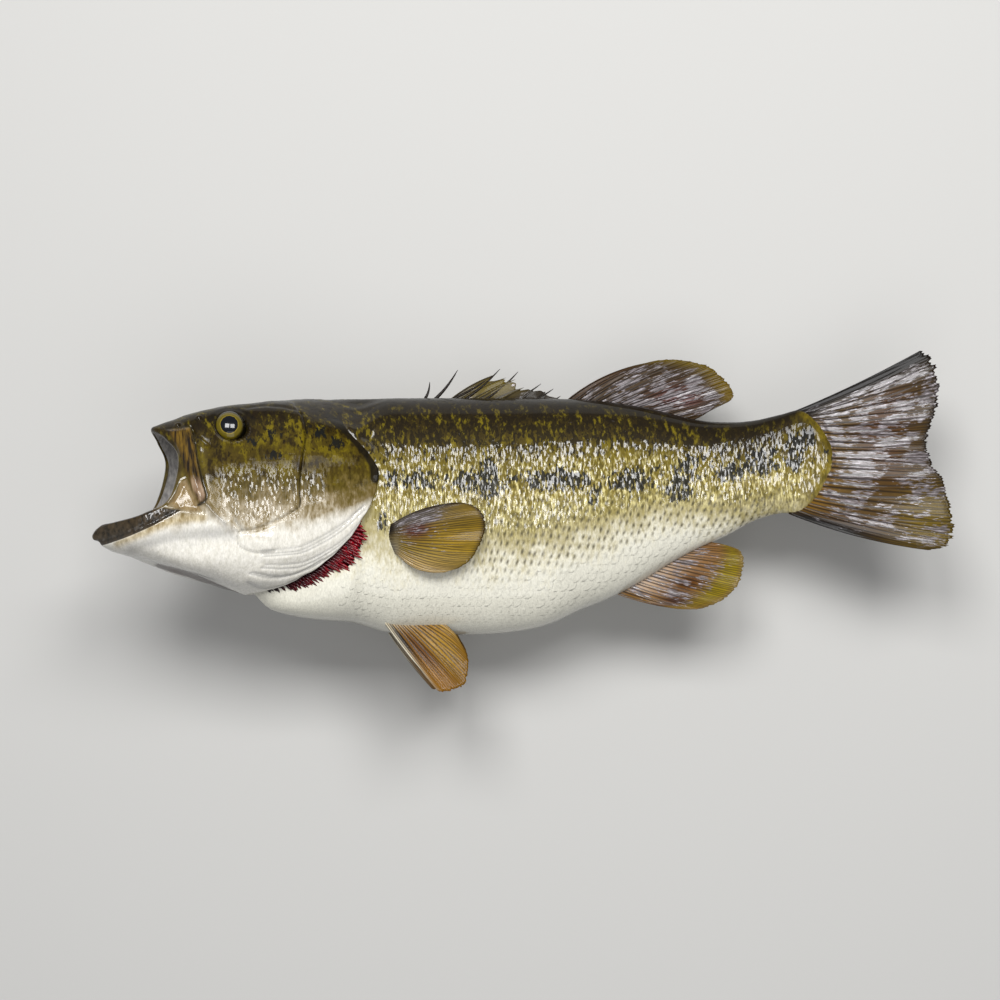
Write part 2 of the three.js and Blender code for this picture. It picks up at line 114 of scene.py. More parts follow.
# Long lines of the head, each from the lip back to the edge of the gill cover: x, half width, z.
HEAD_LINES = {
    "crown": [[-183.3, 0, 41.2], [-172.6, 0, 45.2], [-155.3, 0, 50.7],
              [-130.5, 0, 54.3], [-98.2, 0, 57.8], [-72.5, 0, 58.4]],
    "brow": [[-178.3, 11, 35.9], [-170.9, 13.5, 40.3], [-158.1, 17, 45.1],
             [-141.4, 20.5, 47.9], [-111.2, 26, 47.2], [-81.4, 29, 39.3]],
    "cheek": [[-172.5, 19, 22.3], [-164.8, 22, 25.8], [-149, 26.5, 26.9],
              [-125.2, 33, 24.3], [-97.9, 37.5, 23.9], [-70.5, 38.5, 21.1]],
    "corner": [[-178.9, 25, -2.4], [-169.5, 27.5, -2.2], [-156.1, 30, 0.2],
               [-131, 35, 3.4], [-99, 39, 5.7], [-64.9, 40, 7.9]],
    "jaw": [[-193.3, 22, -11.9], [-183, 24.5, -15], [-164.6, 28, -18.8],
            [-138.1, 33.5, -21.3], [-105.3, 37.5, -19.1], [-74.3, 38.5, -13.9]],
    "jaw_side": [[-208.3, 13.5, -16.8], [-198.3, 17.5, -22.8], [-182.7, 21, -29.9],
                 [-156.4, 26, -36.8], [-124.1, 31, -37.6], [-90, 32, -34.2]],
    "throat": [[-214.1, 6, -18.5], [-206.1, 9, -26.1], [-189.3, 12, -33.2],
               [-162.5, 15, -42.6], [-135.7, 19, -48.9], [-112.6, 18, -49.2]],
    "chin": [[-217.4, 0, -22.4], [-208, 0, -28.3], [-189.8, 0, -33.6],
             [-167.7, 0, -39.9], [-148.2, 0, -48], [-134.1, 0, -53.8]],
}
LAST_LINE = len(HEAD_LINES) - 1

# Lines drawn on each side of the head, as x and z seen from the side.
PREOPERCLE = [(-106.5, 43.7), (-105.6, 37), (-106.5, 28.5), (-108.5, 20.1), (-110, 11.7), (-111.5, 0.5),
              (-111.3, -7.8), (-115.9, -11.2), (-121.7, -14.5), (-128.5, -17.5), (-135.9, -20), (-142.6, -21)]
INTEROPERCLE = [(-143.9, -21.9), (-145.1, -25.7), (-143.6, -29.6), (-138.6, -32.6), (-132, -33.8),
                (-124.7, -33)]
GILL_RAYS = [
    [(-131.9, -32.7), (-118.6, -31.8), (-107.5, -29.8), (-89.1, -20.1), (-73.9, -7.9)],
    [(-129.1, -40.1), (-116, -39.9), (-105, -38), (-86.7, -27.7), (-74.5, -15.1)],
    [(-135.7, -43.8), (-121.8, -46), (-107.7, -43.7), (-92.1, -35.3), (-78.6, -23.4)],
    [(-137.3, -48.5), (-127, -51.3), (-115.5, -49.7), (-103.7, -44.7)],
]
# Fine folds of skin a third of the way down between two gill rays: shift in mm, upper ray, lower ray.
FINE_FOLDS = [[((2 * a[0] + b[0]) / 3 + k, (2 * a[1] + b[1]) / 3 - k)
               for a, b in zip(GILL_RAYS[upper], GILL_RAYS[lower])]
              for k, upper, lower in ((0.4, 0, 1), (-0.8, 0, 1), (0.2, 1, 2), (-1.0, 2, 3))]
SUBOPERCLE = [(-110.9, -7.1), (-100.5, -3.8), (-87.8, 0.7), (-74.8, 5.8), (-67.4, 8.1)]
MAXILLA = [(-178.8, 38), (-165.5, 38.5), (-164.4, 27.7), (-163.9, 19.1), (-162.9, 10.5), (-161.8, 3.6),
           (-160.6, -1.1), (-161.7, -4.7), (-164.9, -6.6), (-167.9, 0.5), (-169.9, 7.5), (-171.2, 14.5),
           (-173.2, 22.2), (-176, 31)]
MAXILLA_REAR = MAXILLA[1:9]
MAXILLA_RIDGE = [(-169.9, 38), (-168.6, 31), (-168.4, 22.2), (-167.7, 14.5), (-166.3, 7.5), (-164.9, 0.5)]
MOUTH_WEB = [(-170.5, 8), (-173.8, 6.7), (-176.4, 1), (-179.5, -3.5), (-181.2, -5.2), (-176, -8.6),
             (-169.7, -9.9), (-163.6, -10.1), (-164.9, -6.6), (-167.9, 0.5)]
UNDER_LIP = [(-217.5, -24), (-211, -23.2), (-204, -21.4), (-197, -18.8), (-190, -15.8), (-182.5, -12),
             (-175, -8)]
JAW_CREASE = [(-199, -28.5), (-187.7, -25.2), (-174.7, -22.5), (-161.7, -22), (-148.7, -21.5)]
JAW_RIDGE = [(-165.6, -0.9), (-161.5, -6), (-157.3, -11.6), (-151.6, -17.2)]
JAW_NOTCH = [(-145.9, -15.8), (-143.2, -19.7), (-142.2, -21.3)]
BROW_LINE = [(-134.8, 49), (-126.1, 50.3), (-116.2, 49.3), (-109.8, 47.3), (-104.1, 44.8)]
LACRIMAL = [(-164.9, 36.4), (-162.9, 32.5), (-158.1, 27.1)]
CHEEK_LOBE = [(-137, -27), (-128, -27.5)]
NOSTRILS = [(-171.7, 39.6), (-160.7, 43.2)]

# Where the paint changes, drawn the same way; some of these lines carry painted shade or a painted highlight.
PALE_EDGE = [(-222, -22), (-190, -20.5), (-177, -16.5), (-160, -13.5), (-146, -20.5), (-135, -22),
             (-118, -21), (-98, -16), (-80, -10.5), (-64, -5)]
JAW_GOLD = [(-206, -23.4), (-197, -20.6), (-190, -17.6), (-182, -14.6), (-173, -12.6), (-163, -12.4)]
JAW_SHADES = [[(-205, -27), (-190, -26.2), (-175, -24), (-160, -23.4), (-148, -24)],
              [(-196, -30.5), (-180, -29), (-165, -27.5)]]
BROW_SHADE = [(-156, 41.5), (-150.5, 46.5), (-143.5, 48.1), (-136.5, 46.5), (-132.5, 42)]
FLAP_EDGE = [(-88, 43), (-83, 37.5), (-78.4, 31.5), (-73.6, 25), (-69.6, 18.5), (-67, 12.8), (-67, 7)]
LATERAL_BAND = [(-60, 8), (-47.3, 7.7), (10.7, 4.2), (51.4, 7.4), (98, 8.8), (127.9, 13.8), (157.3, 20.6),
                (190, 27.6), (210, 28)]

# Dark blotches along each flank and on the cheek: x, z, half length, half height.
BLOTCHES = [(-61.5, -18, 3.5, 6), (-52, 7, 9, 7), (-37, 5.5, 11, 6), (-4, 5, 14, 7), (9, 7, 9, 15),
            (50, 6.5, 26, 6.5), (70, -2, 4, 6), (91, 8, 15, 7.5), (121, 4, 10, 8), (127, 16, 7, 11),
            (150, 14, 9, 7), (168, 20, 11, 8), (189, 28, 6, 13), (196, 36, 5, 7)]
CHEEK_SPOTS = [(-122.5, 34.1, 5, 4), (-123, 20.1, 6, 3), (-134, 29, 4, 3), (-97, 34, 7, 4), (-88, 27, 4, 5)]

# Where the small scales of the head lie, as seen from the side.
CHEEK = [(-150, 24), (-137, 24), (-124, 27), (-116, 32), (-110.5, 30), (-112.5, 15), (-114, 2),
         (-114.5, -6), (-121, -10.5), (-131, -14.5), (-140, -17), (-147, -12), (-153, -4), (-156.5, 8),
         (-155, 18)]
GILL_COVER = [(-104, 38), (-92, 40), (-84, 35), (-78, 28), (-73, 20), (-69.5, 12), (-72, 7), (-84, 2),
              (-96, -2.5), (-108, -6.5), (-108.5, 4), (-107.5, 18), (-104.5, 30)]

# The skin's grid: columns from back to belly, rows of the mouth lining, along the outside of the head and
# from the gill cover's fold to the join, and the place along the spine, in mm, of that join, behind which
# every row is a plain ring. Each row belongs to one of five zones.
HALF = 156
LINING_ROWS, HEAD_ROWS, NECK_ROWS = 44, 150, 26
JOIN = -45.0
LINING, LIP, HEAD, FOLD, FLANK = range(5)

# Camera, in metres: how far in front of the fish's spine it stands, how wide a stretch it sees there, and
# its place along the wall; then the wall's size and its gap to the mount.
CAMERA_DISTANCE = 1.2
VIEW_WIDTH = 0.58275
CAMERA_X = 0.00948
BACKDROP_SIZE = 6
BACKDROP_GAP = 0.0005

# Lamps: name, place, size in metres, power in watts.
LAMPS = [
    ("key", (-0.3, -1.55, 0.78), 0.6, 17),
    ("side", (0.45, -1.5, 0.74), 0.6, 16),
    ("low", (0.2, -1.6, -0.75), 1.3, 6),
    ("behind", (0.3, 1.6, 0.8), 1.0, 3),
]

# Height of the crown, and the depth below it over which the head's colours run to the throat's, mm.
CROWN_TOP, HEAD_DEPTH = 58, 136

# Middle of the eye, and the way it looks.
EYE = np.array([-144.3, 19.8, 38.2])
EYE_LOOKS = np.array([-0.2, -1.0, 0.26])

FLESH = ["trunk", "tail_stalk", "forehead", "nape", "snout", "lower_jaw", "upper_lip"]
FLESH += [f"{name}_{side}" for name in ("maxilla", "cheek", "gill_cover", "gill_membrane")
          for side in ("left", "right")]


# ---------------------------------------------------------------- numbers and curves
def linear(hex_colour):
    """Linear RGBA of an sRGB hex colour."""
    levels = [int(hex_colour[i:i + 2], 16) / 255 for i in (1, 3, 5)]
    return (*(c / 12.92 if c <= 0.04045 else ((c + 0.055) / 1.055) ** 2.4 for c in levels), 1.0)


def smooth(low, high, value):
    """0 below low, 1 above high, and a soft step between."""
    t = np.clip((np.asarray(value, float) - low) / (high - low), 0, 1)
    return t * t * (3 - 2 * t)


def hump(distance, width):
    """1 at no distance, falling off to both sides as a bell of the given width."""
    return np.exp(-((distance / width) ** 2))


def spline(p0, p1, p2, p3, t):
    """Catmull-Rom between p1 and p2."""
    square, cube = 2 * p0 - 5 * p1 + 4 * p2 - p3, 3 * p1 - p0 - 3 * p2 + p3
    return 0.5 * (2 * p1 + (p2 - p0) * t + square * t**2 + cube * t**3)


def along_curve(points, t):
    """Points of a smooth open curve through the given points, for t from 0 to 1."""
    points = np.asarray(points, float)
    ends = np.vstack([2 * points[0] - points[1], points, 2 * points[-1] - points[-2]])
    place = np.clip(np.asarray(t, float), 0, 1) * (len(points) - 1)
    i = np.minimum(place.astype(int), len(points) - 2)
    f = (place - i)[..., None]
    return spline(ends[i], ends[i + 1], ends[i + 2], ends[i + 3], f)


def unit(vectors):
    """The vectors at length one."""
    return vectors / np.maximum(np.linalg.norm(vectors, axis=-1, keepdims=True), 1e-9)


def to_segment(x, z, start, end):
    """Distance to a straight line between two points, and which side of it a point lies on."""
    (ax, az), (bx, bz) = start, end
    dx, dz = bx - ax, bz - az
    t = np.clip(((x - ax) * dx + (z - az) * dz) / (dx * dx + dz * dz), 0, 1)
    return np.hypot(x - ax - t * dx, z - az - t * dz), np.sign(dx * (z - az) - dz * (x - ax))


def stroke(x, z, points):
    """Distance to a drawn line, and how far to its left side a point lies (both mm)."""
    line = along_curve(points, np.linspace(0, 1, 6 * len(points)))
    best = np.full(np.shape(x), 1e9)
    left = np.zeros(np.shape(x))
    for start, end in zip(line[:-1], line[1:]):
        away, side = to_segment(x, z, start, end)
        left = np.where(away < best, side * away, left)
        best = np.minimum(best, away)
    return best, left


def height_on(line, x):
    """Height of a drawn line at places x."""
    return np.interp(x, *np.array(line, float).T)


def inside(x, z, outline):
    """How far inside a closed outline a point lies, mm, negative outside."""
    ring = np.array(outline + outline[:1], float)
    odd = np.zeros(np.shape(x), bool)
    best = np.full(np.shape(x), 1e9)
    for start, end in zip(ring[:-1], ring[1:]):
        (ax, az), (bx, bz) = start, end
        odd ^= ((az > z) != (bz > z)) & (x < (bx - ax) * (z - az) / ((bz - az) or 1e-9) + ax)
        best = np.minimum(best, to_segment(x, z, start, end)[0])
    return np.where(odd, best, -best)


def waves(points, size, seed, octaves=3):
    """A smooth wandering value near -1 to 1 from a few crossed sines, for shapes."""
    random = np.random.default_rng(seed)
    total = np.zeros(points.shape[:-1])
    for octave in range(octaves):
        for _ in range(4):
            direction = unit(random.normal(size=3)) * 2 * pi / (size / 1.9**octave)
            total += np.sin(points @ direction + random.uniform(0, 2 * pi)) * 0.5 ** (octave + 1)
    return total * 0.6


# ---------------------------------------------------------------- pose
def bend(distance, length, turn):
    """Reach along the wall, lift off the wall and angle after a distance round a bend."""
    radius = length / turn
    angle = np.minimum(distance, length) / radius
    beyond = np.maximum(distance - length, 0)
    reach = radius * np.sin(angle) + beyond * cos(turn)
    lift = radius * (1 - np.cos(angle)) + beyond * sin(turn)
    return reach, lift, angle


def mounted(points):
    """Fish coordinates in mm to the mounted pose in metres."""
    shape = bpy.context.scene.bass_shape
    points = np.asarray(points, float)
    x, y, z = points[..., 0], points[..., 1], points[..., 2]
    across = y * cos(shape.roll) + z * sin(shape.roll)
    up = z * cos(shape.roll) - y * sin(shape.roll)
    head, tail = shape.head_bend_from / MM, shape.tail_bend_from / MM
    reach_h, lift_h, turn_h = bend(np.maximum(head - x, 0), shape.head_bend_length / MM, shape.head_turn)
    reach_t, lift_t, turn_t = bend(np.maximum(x - tail, 0), shape.tail_bend_length / MM, shape.tail_turn)
    at = np.where(x < head, head - reach_h, np.where(x > tail, tail + reach_t, x))
    turn = turn_h - turn_t
    placed = np.stack([at - across * np.sin(turn), across * np.cos(turn) - lift_h - lift_t, up], -1)
    hanger = [(BLOCK_LOW[0] + BLOCK_HIGH[0]) / 2, BLOCK_HIGH[1], (BLOCK_LOW[2] + BLOCK_HIGH[2]) / 2]
    return (placed + FISH_FROM_HANGER) * MM + hanger


# ---------------------------------------------------------------- the fish's surface
def body_value(x, column):
    """One column of the body sections at places along the spine, on a smooth line through its rows."""
    at, value = BODY[:, 0], BODY[:, column]
    slope = np.gradient(value, at)
    slope[1:-1] = (value[2:] - value[:-2]) / (at[2:] - at[:-2])
    i = np.clip(np.searchsorted(at, x, "right") - 1, 0, len(at) - 2)
    width = at[i + 1] - at[i]
    t = (np.clip(x, at[0], at[-1]) - at[i]) / width
    return ((2 * t**3 - 3 * t**2 + 1) * value[i] + (t**3 - 2 * t**2 + t) * width * slope[i]
            + (3 * t**2 - 2 * t**3) * value[i + 1] + (t**3 - t**2) * width * slope[i + 1])


def body_half_ring(x):
    """A fine half ring of the body at x, back to belly on the left flank, and its share of the girth."""
    top, belly, half, wide = (float(body_value(np.array(x), k)) for k in (1, 2, 3, 4))
    angle = np.linspace(0, pi, 181)
    c, s = np.cos(angle), np.sin(angle)
    rise = np.where(c > 0, top - wide, wide - belly)
    y = -half * np.abs(s) ** 0.9
    z = wide + rise * np.sign(c) * np.abs(c) ** 0.9
    length = np.concatenate([[0], np.cumsum(np.hypot(np.diff(y), np.diff(z)))])
    return y, z, length / length[-1]


def core(x):
    """Height of the line inside the body that its rings turn about behind the head."""
    return np.interp(x, *CORE)


def turned_points(x, turn):
    """Points of the left flank at places x and turns about the core line, from back (0) to belly (pi)."""
    points = np.empty((len(x), 3))
    for i, (place, angle) in enumerate(zip(x, turn)):
        y, z, _ = body_half_ring(place)
        turns = np.arctan2(-y, z - core(place))
        points[i] = place, np.interp(angle, turns, y), np.interp(angle, turns, z)
    return points


def body_points(x, share):
    """Points of the left flank at places x and shares of the girth from back (0) to belly (1)."""
    points = np.empty((len(x), 3))
    for i, (place, part) in enumerate(zip(x, share)):
        y, z, girth = body_half_ring(place)
        points[i] = place, np.interp(part, girth, y), np.interp(part, girth, z)
    return points


def head_points(along, lines, depth=0.0):
    """Left side of the head: rows along it and columns over its long lines, sunk by a depth in mm."""
    curves = [along_curve(line, along) for line in HEAD_LINES.values()]
    loop = np.array(curves + [c * [1, -1, 1] for c in curves[-2:0:-1]])
    i = np.floor(lines).astype(int)
    f = (lines - i)[:, None, None]
    p0, p1, p2, p3 = (loop[(i + k) % len(loop)] for k in (-1, 0, 1, 2))
    points = spline(p0, p1, p2, p3, f).transpose(1, 0, 2)
    middle = ((loop[0] + loop[LAST_LINE]) / 2)[:, None, :]
    inward = middle - points
    inward[..., 0] = 0
    inward = unit(inward)
    inward[..., 0] = 0.3
    points = points + inward * np.broadcast_to(np.asarray(depth, float), points.shape[:2])[..., None]
    return points * [1, -1, 1]


def grid_normals(points):
    """Outward normals of a grid of points whose rows run back and whose columns run down the left flank."""
    back = np.gradient(points, axis=0)
    down = np.gradient(points, axis=1)
    return unit(np.cross(down, back))


# Head relief: (line, width, height) for ridges and grooves drawn on both sides.
RELIEF = [
    (INTEROPERCLE, 0.7, -0.7),
    (SUBOPERCLE, 2.0, -0.2),
    (MAXILLA_RIDGE, 1.6, 0.5),
    (JAW_CREASE, 5.0, -0.4),
    (JAW_RIDGE, 1.6, 1.1),
    (JAW_NOTCH, 1.3, -1.8),
    (BROW_LINE, 0.9, -0.6),
    (LACRIMAL, 0.8, -0.6),
    (UNDER_LIP, 1.2, -0.8),
] + [(line, 0.6, -0.42) for line in GILL_RAYS + FINE_FOLDS]


def sculpt_head(points, normals, lines):
    """Raises and sinks the head's surface: gill bones, lips, jaws, eye sockets and nostrils."""
    x, z = points[..., 0], points[..., 2]
    side = smooth(0.25, 0.9, lines)[None, :] * np.ones_like(x)
    lift = np.zeros_like(x)
    for line, width, height in RELIEF:
        away, _ = stroke(x, z, line)
        lift += height * hump(away, width) * side
    # the cheek's raised rear edge and the groove behind it
    _, left = stroke(x, z, PREOPERCLE)
    front = np.maximum(-left, 0)
    lift += side * 1.3 * np.where(left < 0, np.exp(-front / 9), hump(left, 0.5))
    lift -= side * 0.9 * hump(left - 1.1, 0.8) * (left > 0)
    # skin swelling between the gill rays
    for upper, lower in zip(GILL_RAYS[:-1], GILL_RAYS[1:]):
        middle = [((a[0] + b[0]) / 2, (a[1] + b[1]) / 2) for a, b in zip(upper, lower)]
        away, _ = stroke(x, z, middle)
        lift += 0.5 * hump(away, 2.4) * side
    # the upper jaw's blade, the groove behind it and the web at the corner of the mouth
    blade = inside(x, z, MAXILLA)
    lift += 1.7 * smooth(-0.4, 3.2, blade) * side
    away, _ = stroke(x, z, MAXILLA_REAR)
    lift -= 1.0 * hump(away, 1.1) * (blade < 0.3) * side
    lift -= 2.0 * smooth(-1.2, 2.5, inside(x, z, MOUTH_WEB)) * side
    away, _ = stroke(x, z, CHEEK_LOBE)
    lift += 1.2 * hump(away, 5) * side
    for place in NOSTRILS:
        away = np.hypot(x - place[0], z - place[1])
        lift += side * (0.5 * hump(away - 1.5, 0.5) - 1.6 * hump(away, 0.9))
    # the eye's rim, the shallow ring round it and the socket
    radius = bpy.context.scene.bass_shape.eye_diameter / MM / 2
    away = np.hypot(x - EYE[0], (z - EYE[2]) * 1.02)
    lift += 0.12 * hump(away - radius - 0.6, 0.7) * side
    lift -= 0.2 * hump(away - radius - 2.2, 1.1) * side
    lift = np.where(away < radius + 0.7, lift * smooth(radius - 0.6, radius + 0.7, away), lift)
    lift -= 6.5 * smooth(radius + 0.1, radius - 0.9, away) * side
    lift += 0.25 * waves(points, 22, 4) * smooth(0.06, 0.2, np.linspace(0, 1, len(x)))[:, None]
    return points + normals * lift[..., None]


@lru_cache(maxsize=1)
def left_skin():
    """The left half of the skin as a grid: points, the zone of each row, and each row's place.

    Rows run from the gullet over the mouth lining, round the lip, back over the head, round the edge
    of the gill cover into its fold, and on along the body to the tail. Columns run from the crown
    and back (0) to the chin and belly (LAST_LINE).
    """
    lines = np.linspace(0, LAST_LINE, HALF + 1)
    rows, zones, places = [], [], []

    def add(block, zone, place):
        for row, at in zip(block, place):
            rows.append(row)
            zones.append(zone)
            places.append(at)

    # mouth lining, from the gullet forward to the lip
    lip = 3.2 - 0.6 * smooth(2.6, 3.4, lines) + 0.9 * smooth(4, 6, lines)
    t = np.linspace(0.7, 0, LINING_ROWS)
    depth = lip + (8.5 - lip) * smooth(0, 0.3, t)[:, None]
    lining = head_points(t, lines, depth)
    tongue = smooth(5.6, 7, lines)[None, :] * hump(t - 0.33, 0.16)[:, None]
    lining[..., 2] += 7 * tongue
    lining[..., 2] -= 2.5 * hump(lines - 6.2, 0.35)[None, :] * smooth(0.05, 0.15, t)[:, None]
    gullet = np.array([-96.0, 0, -4])
    throat = [gullet + (lining[0] - gullet) * [1, k, k] + [(1 - k) * 16, 0, 0]
              for k in (0.04, 0.35, 0.62, 0.84)]
    add(throat, LINING, [0.8, 0.78, 0.75, 0.72])
    add(lining, LINING, t)

    # the rolled edge of the lip
    outer = head_points(np.array([0.0, 0.03]), lines)
    forward = unit(outer[0] - outer[1])
    inner = lining[-1]
    middle, arm = (inner + outer[0]) / 2, (outer[0] - inner) / 2
    radius = np.linalg.norm(arm, axis=-1, keepdims=True)
    angles = np.linspace(0, pi, 9)[1:-1]
    add([middle - arm * cos(a) + forward * radius * sin(a) for a in angles], LIP, np.zeros(len(angles)))

    # outside of the head
    u = np.linspace(0, 1, HEAD_ROWS)
    t = 1.35 * u - 0.35 * u * u
    head = head_points(t, lines)
    head = sculpt_head(head, grid_normals(head), lines)
    add(head, HEAD, t)

    # edge of the gill cover and the fold under it, which dies out over the nape
    fold = smooth(1.0, 1.55, lines)[:, None]
    edge = head[-1]
    outward = grid_normals(head)[-1]
    back = unit(edge - head[-2])
    thick = 0.7
    turned = [edge + back * thick * sin(a) - outward * thick * (1 - cos(a)) for a in (pi / 3, 2 * pi / 3)]
    under = [edge - back * 1.1 * k - outward * (2 * thick + 0.8 * k) for k in range(5)]
    pocket = [under[-1] - outward * 1.5, under[-1] + back * 2 - outward * 3.2]
    path = turned + under + pocket
    flat = [edge + back * 0.35 * (k + 1) for k in range(len(path))]
    add([f * (1 - fold) + p * fold for f, p in zip(flat, path)], FOLD, np.ones(len(path)))

    # from the fold to the join, where rows become plain rings; over the nape the skin runs straight on
    share = lines / LAST_LINE
    sunk = 4.2 + 2.6 * hump(lines - 5, 0.8)
    start = (flat[-1] + back * 0.35) * (1 - fold) + (edge - outward * sunk[:, None]) * fold
    start_x = start[:, 0]
    joined = body_points(np.full(HALF + 1, JOIN), share)
    start_turn = np.maximum.accumulate(np.arctan2(-start[:, 1], start[:, 2] - core(start_x)))
    start_turn += (pi - start_turn) * smooth(6.3, 7, lines)
    join_turn = np.arctan2(-joined[:, 1], joined[:, 2] - core(JOIN))
    off = start - turned_points(start_x, start_turn)
    off[-1] *= [1, 0, 1]
    sweep = np.minimum(np.interp(lines, (3, 7), (55, 18)), JOIN - start_x)
    onward = unit(body_points(np.full(HALF + 1, JOIN + 4), share) - joined)
    span = np.linalg.norm(joined - start, axis=1, keepdims=True)
    for r in np.linspace(0, 1, NECK_ROWS + 1)[:-1]:
        x = start_x + (JOIN - start_x) * r
        turn = start_turn + (join_turn - start_turn) * smooth(0, sweep, x - start_x)
        hugging = turned_points(x, turn) + off * (1 - smooth(0, 13, x - start_x))[:, None]
        h = [2 * r**3 - 3 * r**2 + 1, r**3 - 2 * r**2 + r, 3 * r**2 - 2 * r**3, r**3 - r**2]
        straight = h[0] * start + h[1] * span * back + h[2] * joined + h[3] * span * onward
        add([straight * (1 - fold) + hugging * fold], FLANK, [JOIN - 30 * (1 - r)])

    # the body and tail stalk
    places_x = np.concatenate([np.linspace(JOIN, 185, 66), np.linspace(187.5, 209, 10)])
    for x in places_x:
        add([body_points(np.full(HALF + 1, x), share)], FLANK, [x])
    tip = rows[-1] * [1, 0.3, 0.3] + [1.5, 0, 0.7 * rows[-1][:, 2].mean()]
    add([tip], FLANK, [211])
    return np.array(rows), np.array(zones), np.array(places), lines


def girth_down(points):
    """Distance from the back down each row of the skin, mm."""
    steps = np.linalg.norm(np.diff(points, axis=1), axis=2)
    return np.concatenate([np.zeros((len(points), 1)), np.cumsum(steps, axis=1)], axis=1)


@lru_cache(maxsize=1)
def left_fields():
    """Smooth values over the left half of the skin that the markings are painted from."""
    points, zones, places, lines = left_skin()
    x, z = points[..., 0], points[..., 2]
    columns = np.broadcast_to(lines, x.shape)
    zone = zones[:, None] * np.ones_like(x)
    outer, flank = zone == HEAD, zone == FLANK
    fields = {}

    # how far down the flank a point lies, from back (0) to belly (1), and where the head's colours hold
    crown = np.array(HEAD_LINES["crown"])[:, [0, 2]]
    top = np.where(x > -72, body_value(x, 1), height_on(crown, x))
    belly = np.where(x > -132, body_value(x, 2), -60)
    height = np.clip((top - z) / (top - belly), 0, 1)
    height = np.where(flank, height, np.clip((CROWN_TOP - z) / HEAD_DEPTH, 0, 1))
    height = height * (1 - 0.36 * smooth(98, 186, x))
    head = np.where(flank, 0, 1.0)
    head = np.where(flank & (x < JOIN), 1 - smooth(0, 14, x + 79), head)
    fields["height"] = height
    fields["head"] = head * np.where(flank, smooth(1.6, 1.1, columns), 1)

    # the ragged dark band and its blotches
    blotch = 0.39 * smooth(12, 4, np.abs(z - height_on(LATERAL_BAND, x))) * smooth(-66, -58, x) * flank
    for spots, dark, reach, where in ((BLOTCHES, 0.74, (1.5, 0.5), flank),
                                      (CHEEK_SPOTS, 0.62, (1.6, 0.4), outer)):
        for at_x, at_z, length, tall in spots:
            spread = np.hypot((x - at_x) / length, (z - at_z) / tall)
            blotch = np.maximum(blotch, dark * smooth(*reach, spread) * where)
    fields["blotch"] = blotch

    # pale throat, bony upper jaw, mouth and dark lip
    pale = smooth(8, -7, z - height_on(PALE_EDGE, x)) * outer * (columns > 2.9)
    pale = np.maximum(pale, (zone == FOLD) * smooth(3.4, 4.2, columns))
    fields["pale"] = pale
    fields["warm"] = smooth(-1, 2, inside(x, z, MAXILLA)) * outer
    fields["tan"] = fields["warm"] * smooth(16, 2, z)
    fields["web"] = smooth(-1.5, 1.5, inside(x, z, MOUTH_WEB)) * outer
    fields["mouth"] = (zone == LINING) * 1.0
    under_lip = smooth(-0.5, 0.5, z - height_on(UNDER_LIP, x) + 1.8) * outer
    under_lip = under_lip * smooth(3.25, 3.6, columns) * smooth(-168, -176, x)
    rim = (zone == LIP) * 1.0 + outer * smooth(0.055, 0.02, places)[:, None]
    rim = rim * (0.45 + 0.55 * smooth(3.4, 3.9, columns))
    lip = fields["lip"] = np.maximum(rim, under_lip)
    # a gold band under the dark lip: partly the jaw's own colour, partly a painted highlight along the lip's
    # roll
    fields["gold_sheen"] = hump(stroke(x, z + 1.6, JAW_GOLD)[0], 2.8) * outer * (1 - under_lip)

    # painted shade in the grooves and creases of the head, round the eye and in the fold under the gill
    # cover, and a dark band along the gill cover's flap, partly its own colour and partly painted shadow
    crease_shades = [min(abs(tall), 0.55) * hump(stroke(x, z, line)[0], width) for line, width, tall in RELIEF]
    crease_shades.append(hump(stroke(x, z, PREOPERCLE)[1] - 0.8, 0.8) * smooth(-20, -5, z))
    crease_shades.append(hump(np.hypot(x - EYE[0], z - EYE[2]) - 8.9, 0.7))
    crease_shades += [hump(stroke(x, z, BROW_SHADE)[0], 1.6), hump(stroke(x, z, MAXILLA_REAR)[0], 1.0)]
    crease_shades.append(1.3 * np.exp(-((stroke(x, z, FLAP_EDGE)[0] / 3.4) ** 4)))
    crease_shade = np.max(crease_shades, axis=0) * outer
    fields["crease_shade"] = np.maximum(crease_shade, (zone == FOLD) * smooth(3.6, 3, columns) * smooth(1, 1.4, columns))

    # painted blue-grey shade in the creases of the pale throat, where shade falls: line, width, strength
    shades = [(JAW_CREASE, 4.5, 0.8), (JAW_SHADES[0], 4.0, 0.9), (JAW_SHADES[1], 3.0, 0.5)]
    shades += [(line, 0.8, 0.8) for line in GILL_RAYS + FINE_FOLDS]
    blue = np.max([strong * hump(stroke(x, z, line)[0], wide) for line, wide, strong in shades], axis=0)
    fields["blue"] = blue * outer * smooth(-212, -190, x)

    # the dark back, the rusty tail stalk, and a dark strip of painted shade along the skin that joins the
    # gill covers under the throat, wider on the far side
    back = smooth(0.46, 0.2, height) * (1 - pale) * (flank | outer)
    back = np.where(outer, smooth(0.42, 0.08, height) * (1 - pale), back)
    fields["back"] = back * (1 - 0.6 * smooth(172, 196, x))
    fields["rust"] = smooth(184, 200, x)
    reach = (smooth(0.42, 0.5, places) * smooth(0.995, 0.9, places))[:, None]
    fields["membrane"] = outer * smooth(6.9, 6.97, columns) * reach
    fields["far_membrane"] = outer * smooth(6.2, 6.5, columns) * reach

    # dashes along the middle of the flank, the cream ones partly painted glints, and rows of flecks below
    # them, one to a scale
    fields["dash"] = smooth(0.26, 0.38, height) * smooth(0.7, 0.54, height) * flank * smooth(-72, -55, x)
    fields["fleck_v"] = girth_down(points) / (5.4 - 1.6 * smooth(40, 205, x))
    fields["fleck_u"] = x / 4.4 + 0.5 * fields["fleck_v"]
    spotted = smooth(0.44, 0.56, height) * smooth(0.87, 0.72, height) * smooth(-62, 25, x) * flank
    fields["spotted"] = spotted * (1 - 0.8 * smooth(170, 185, x))

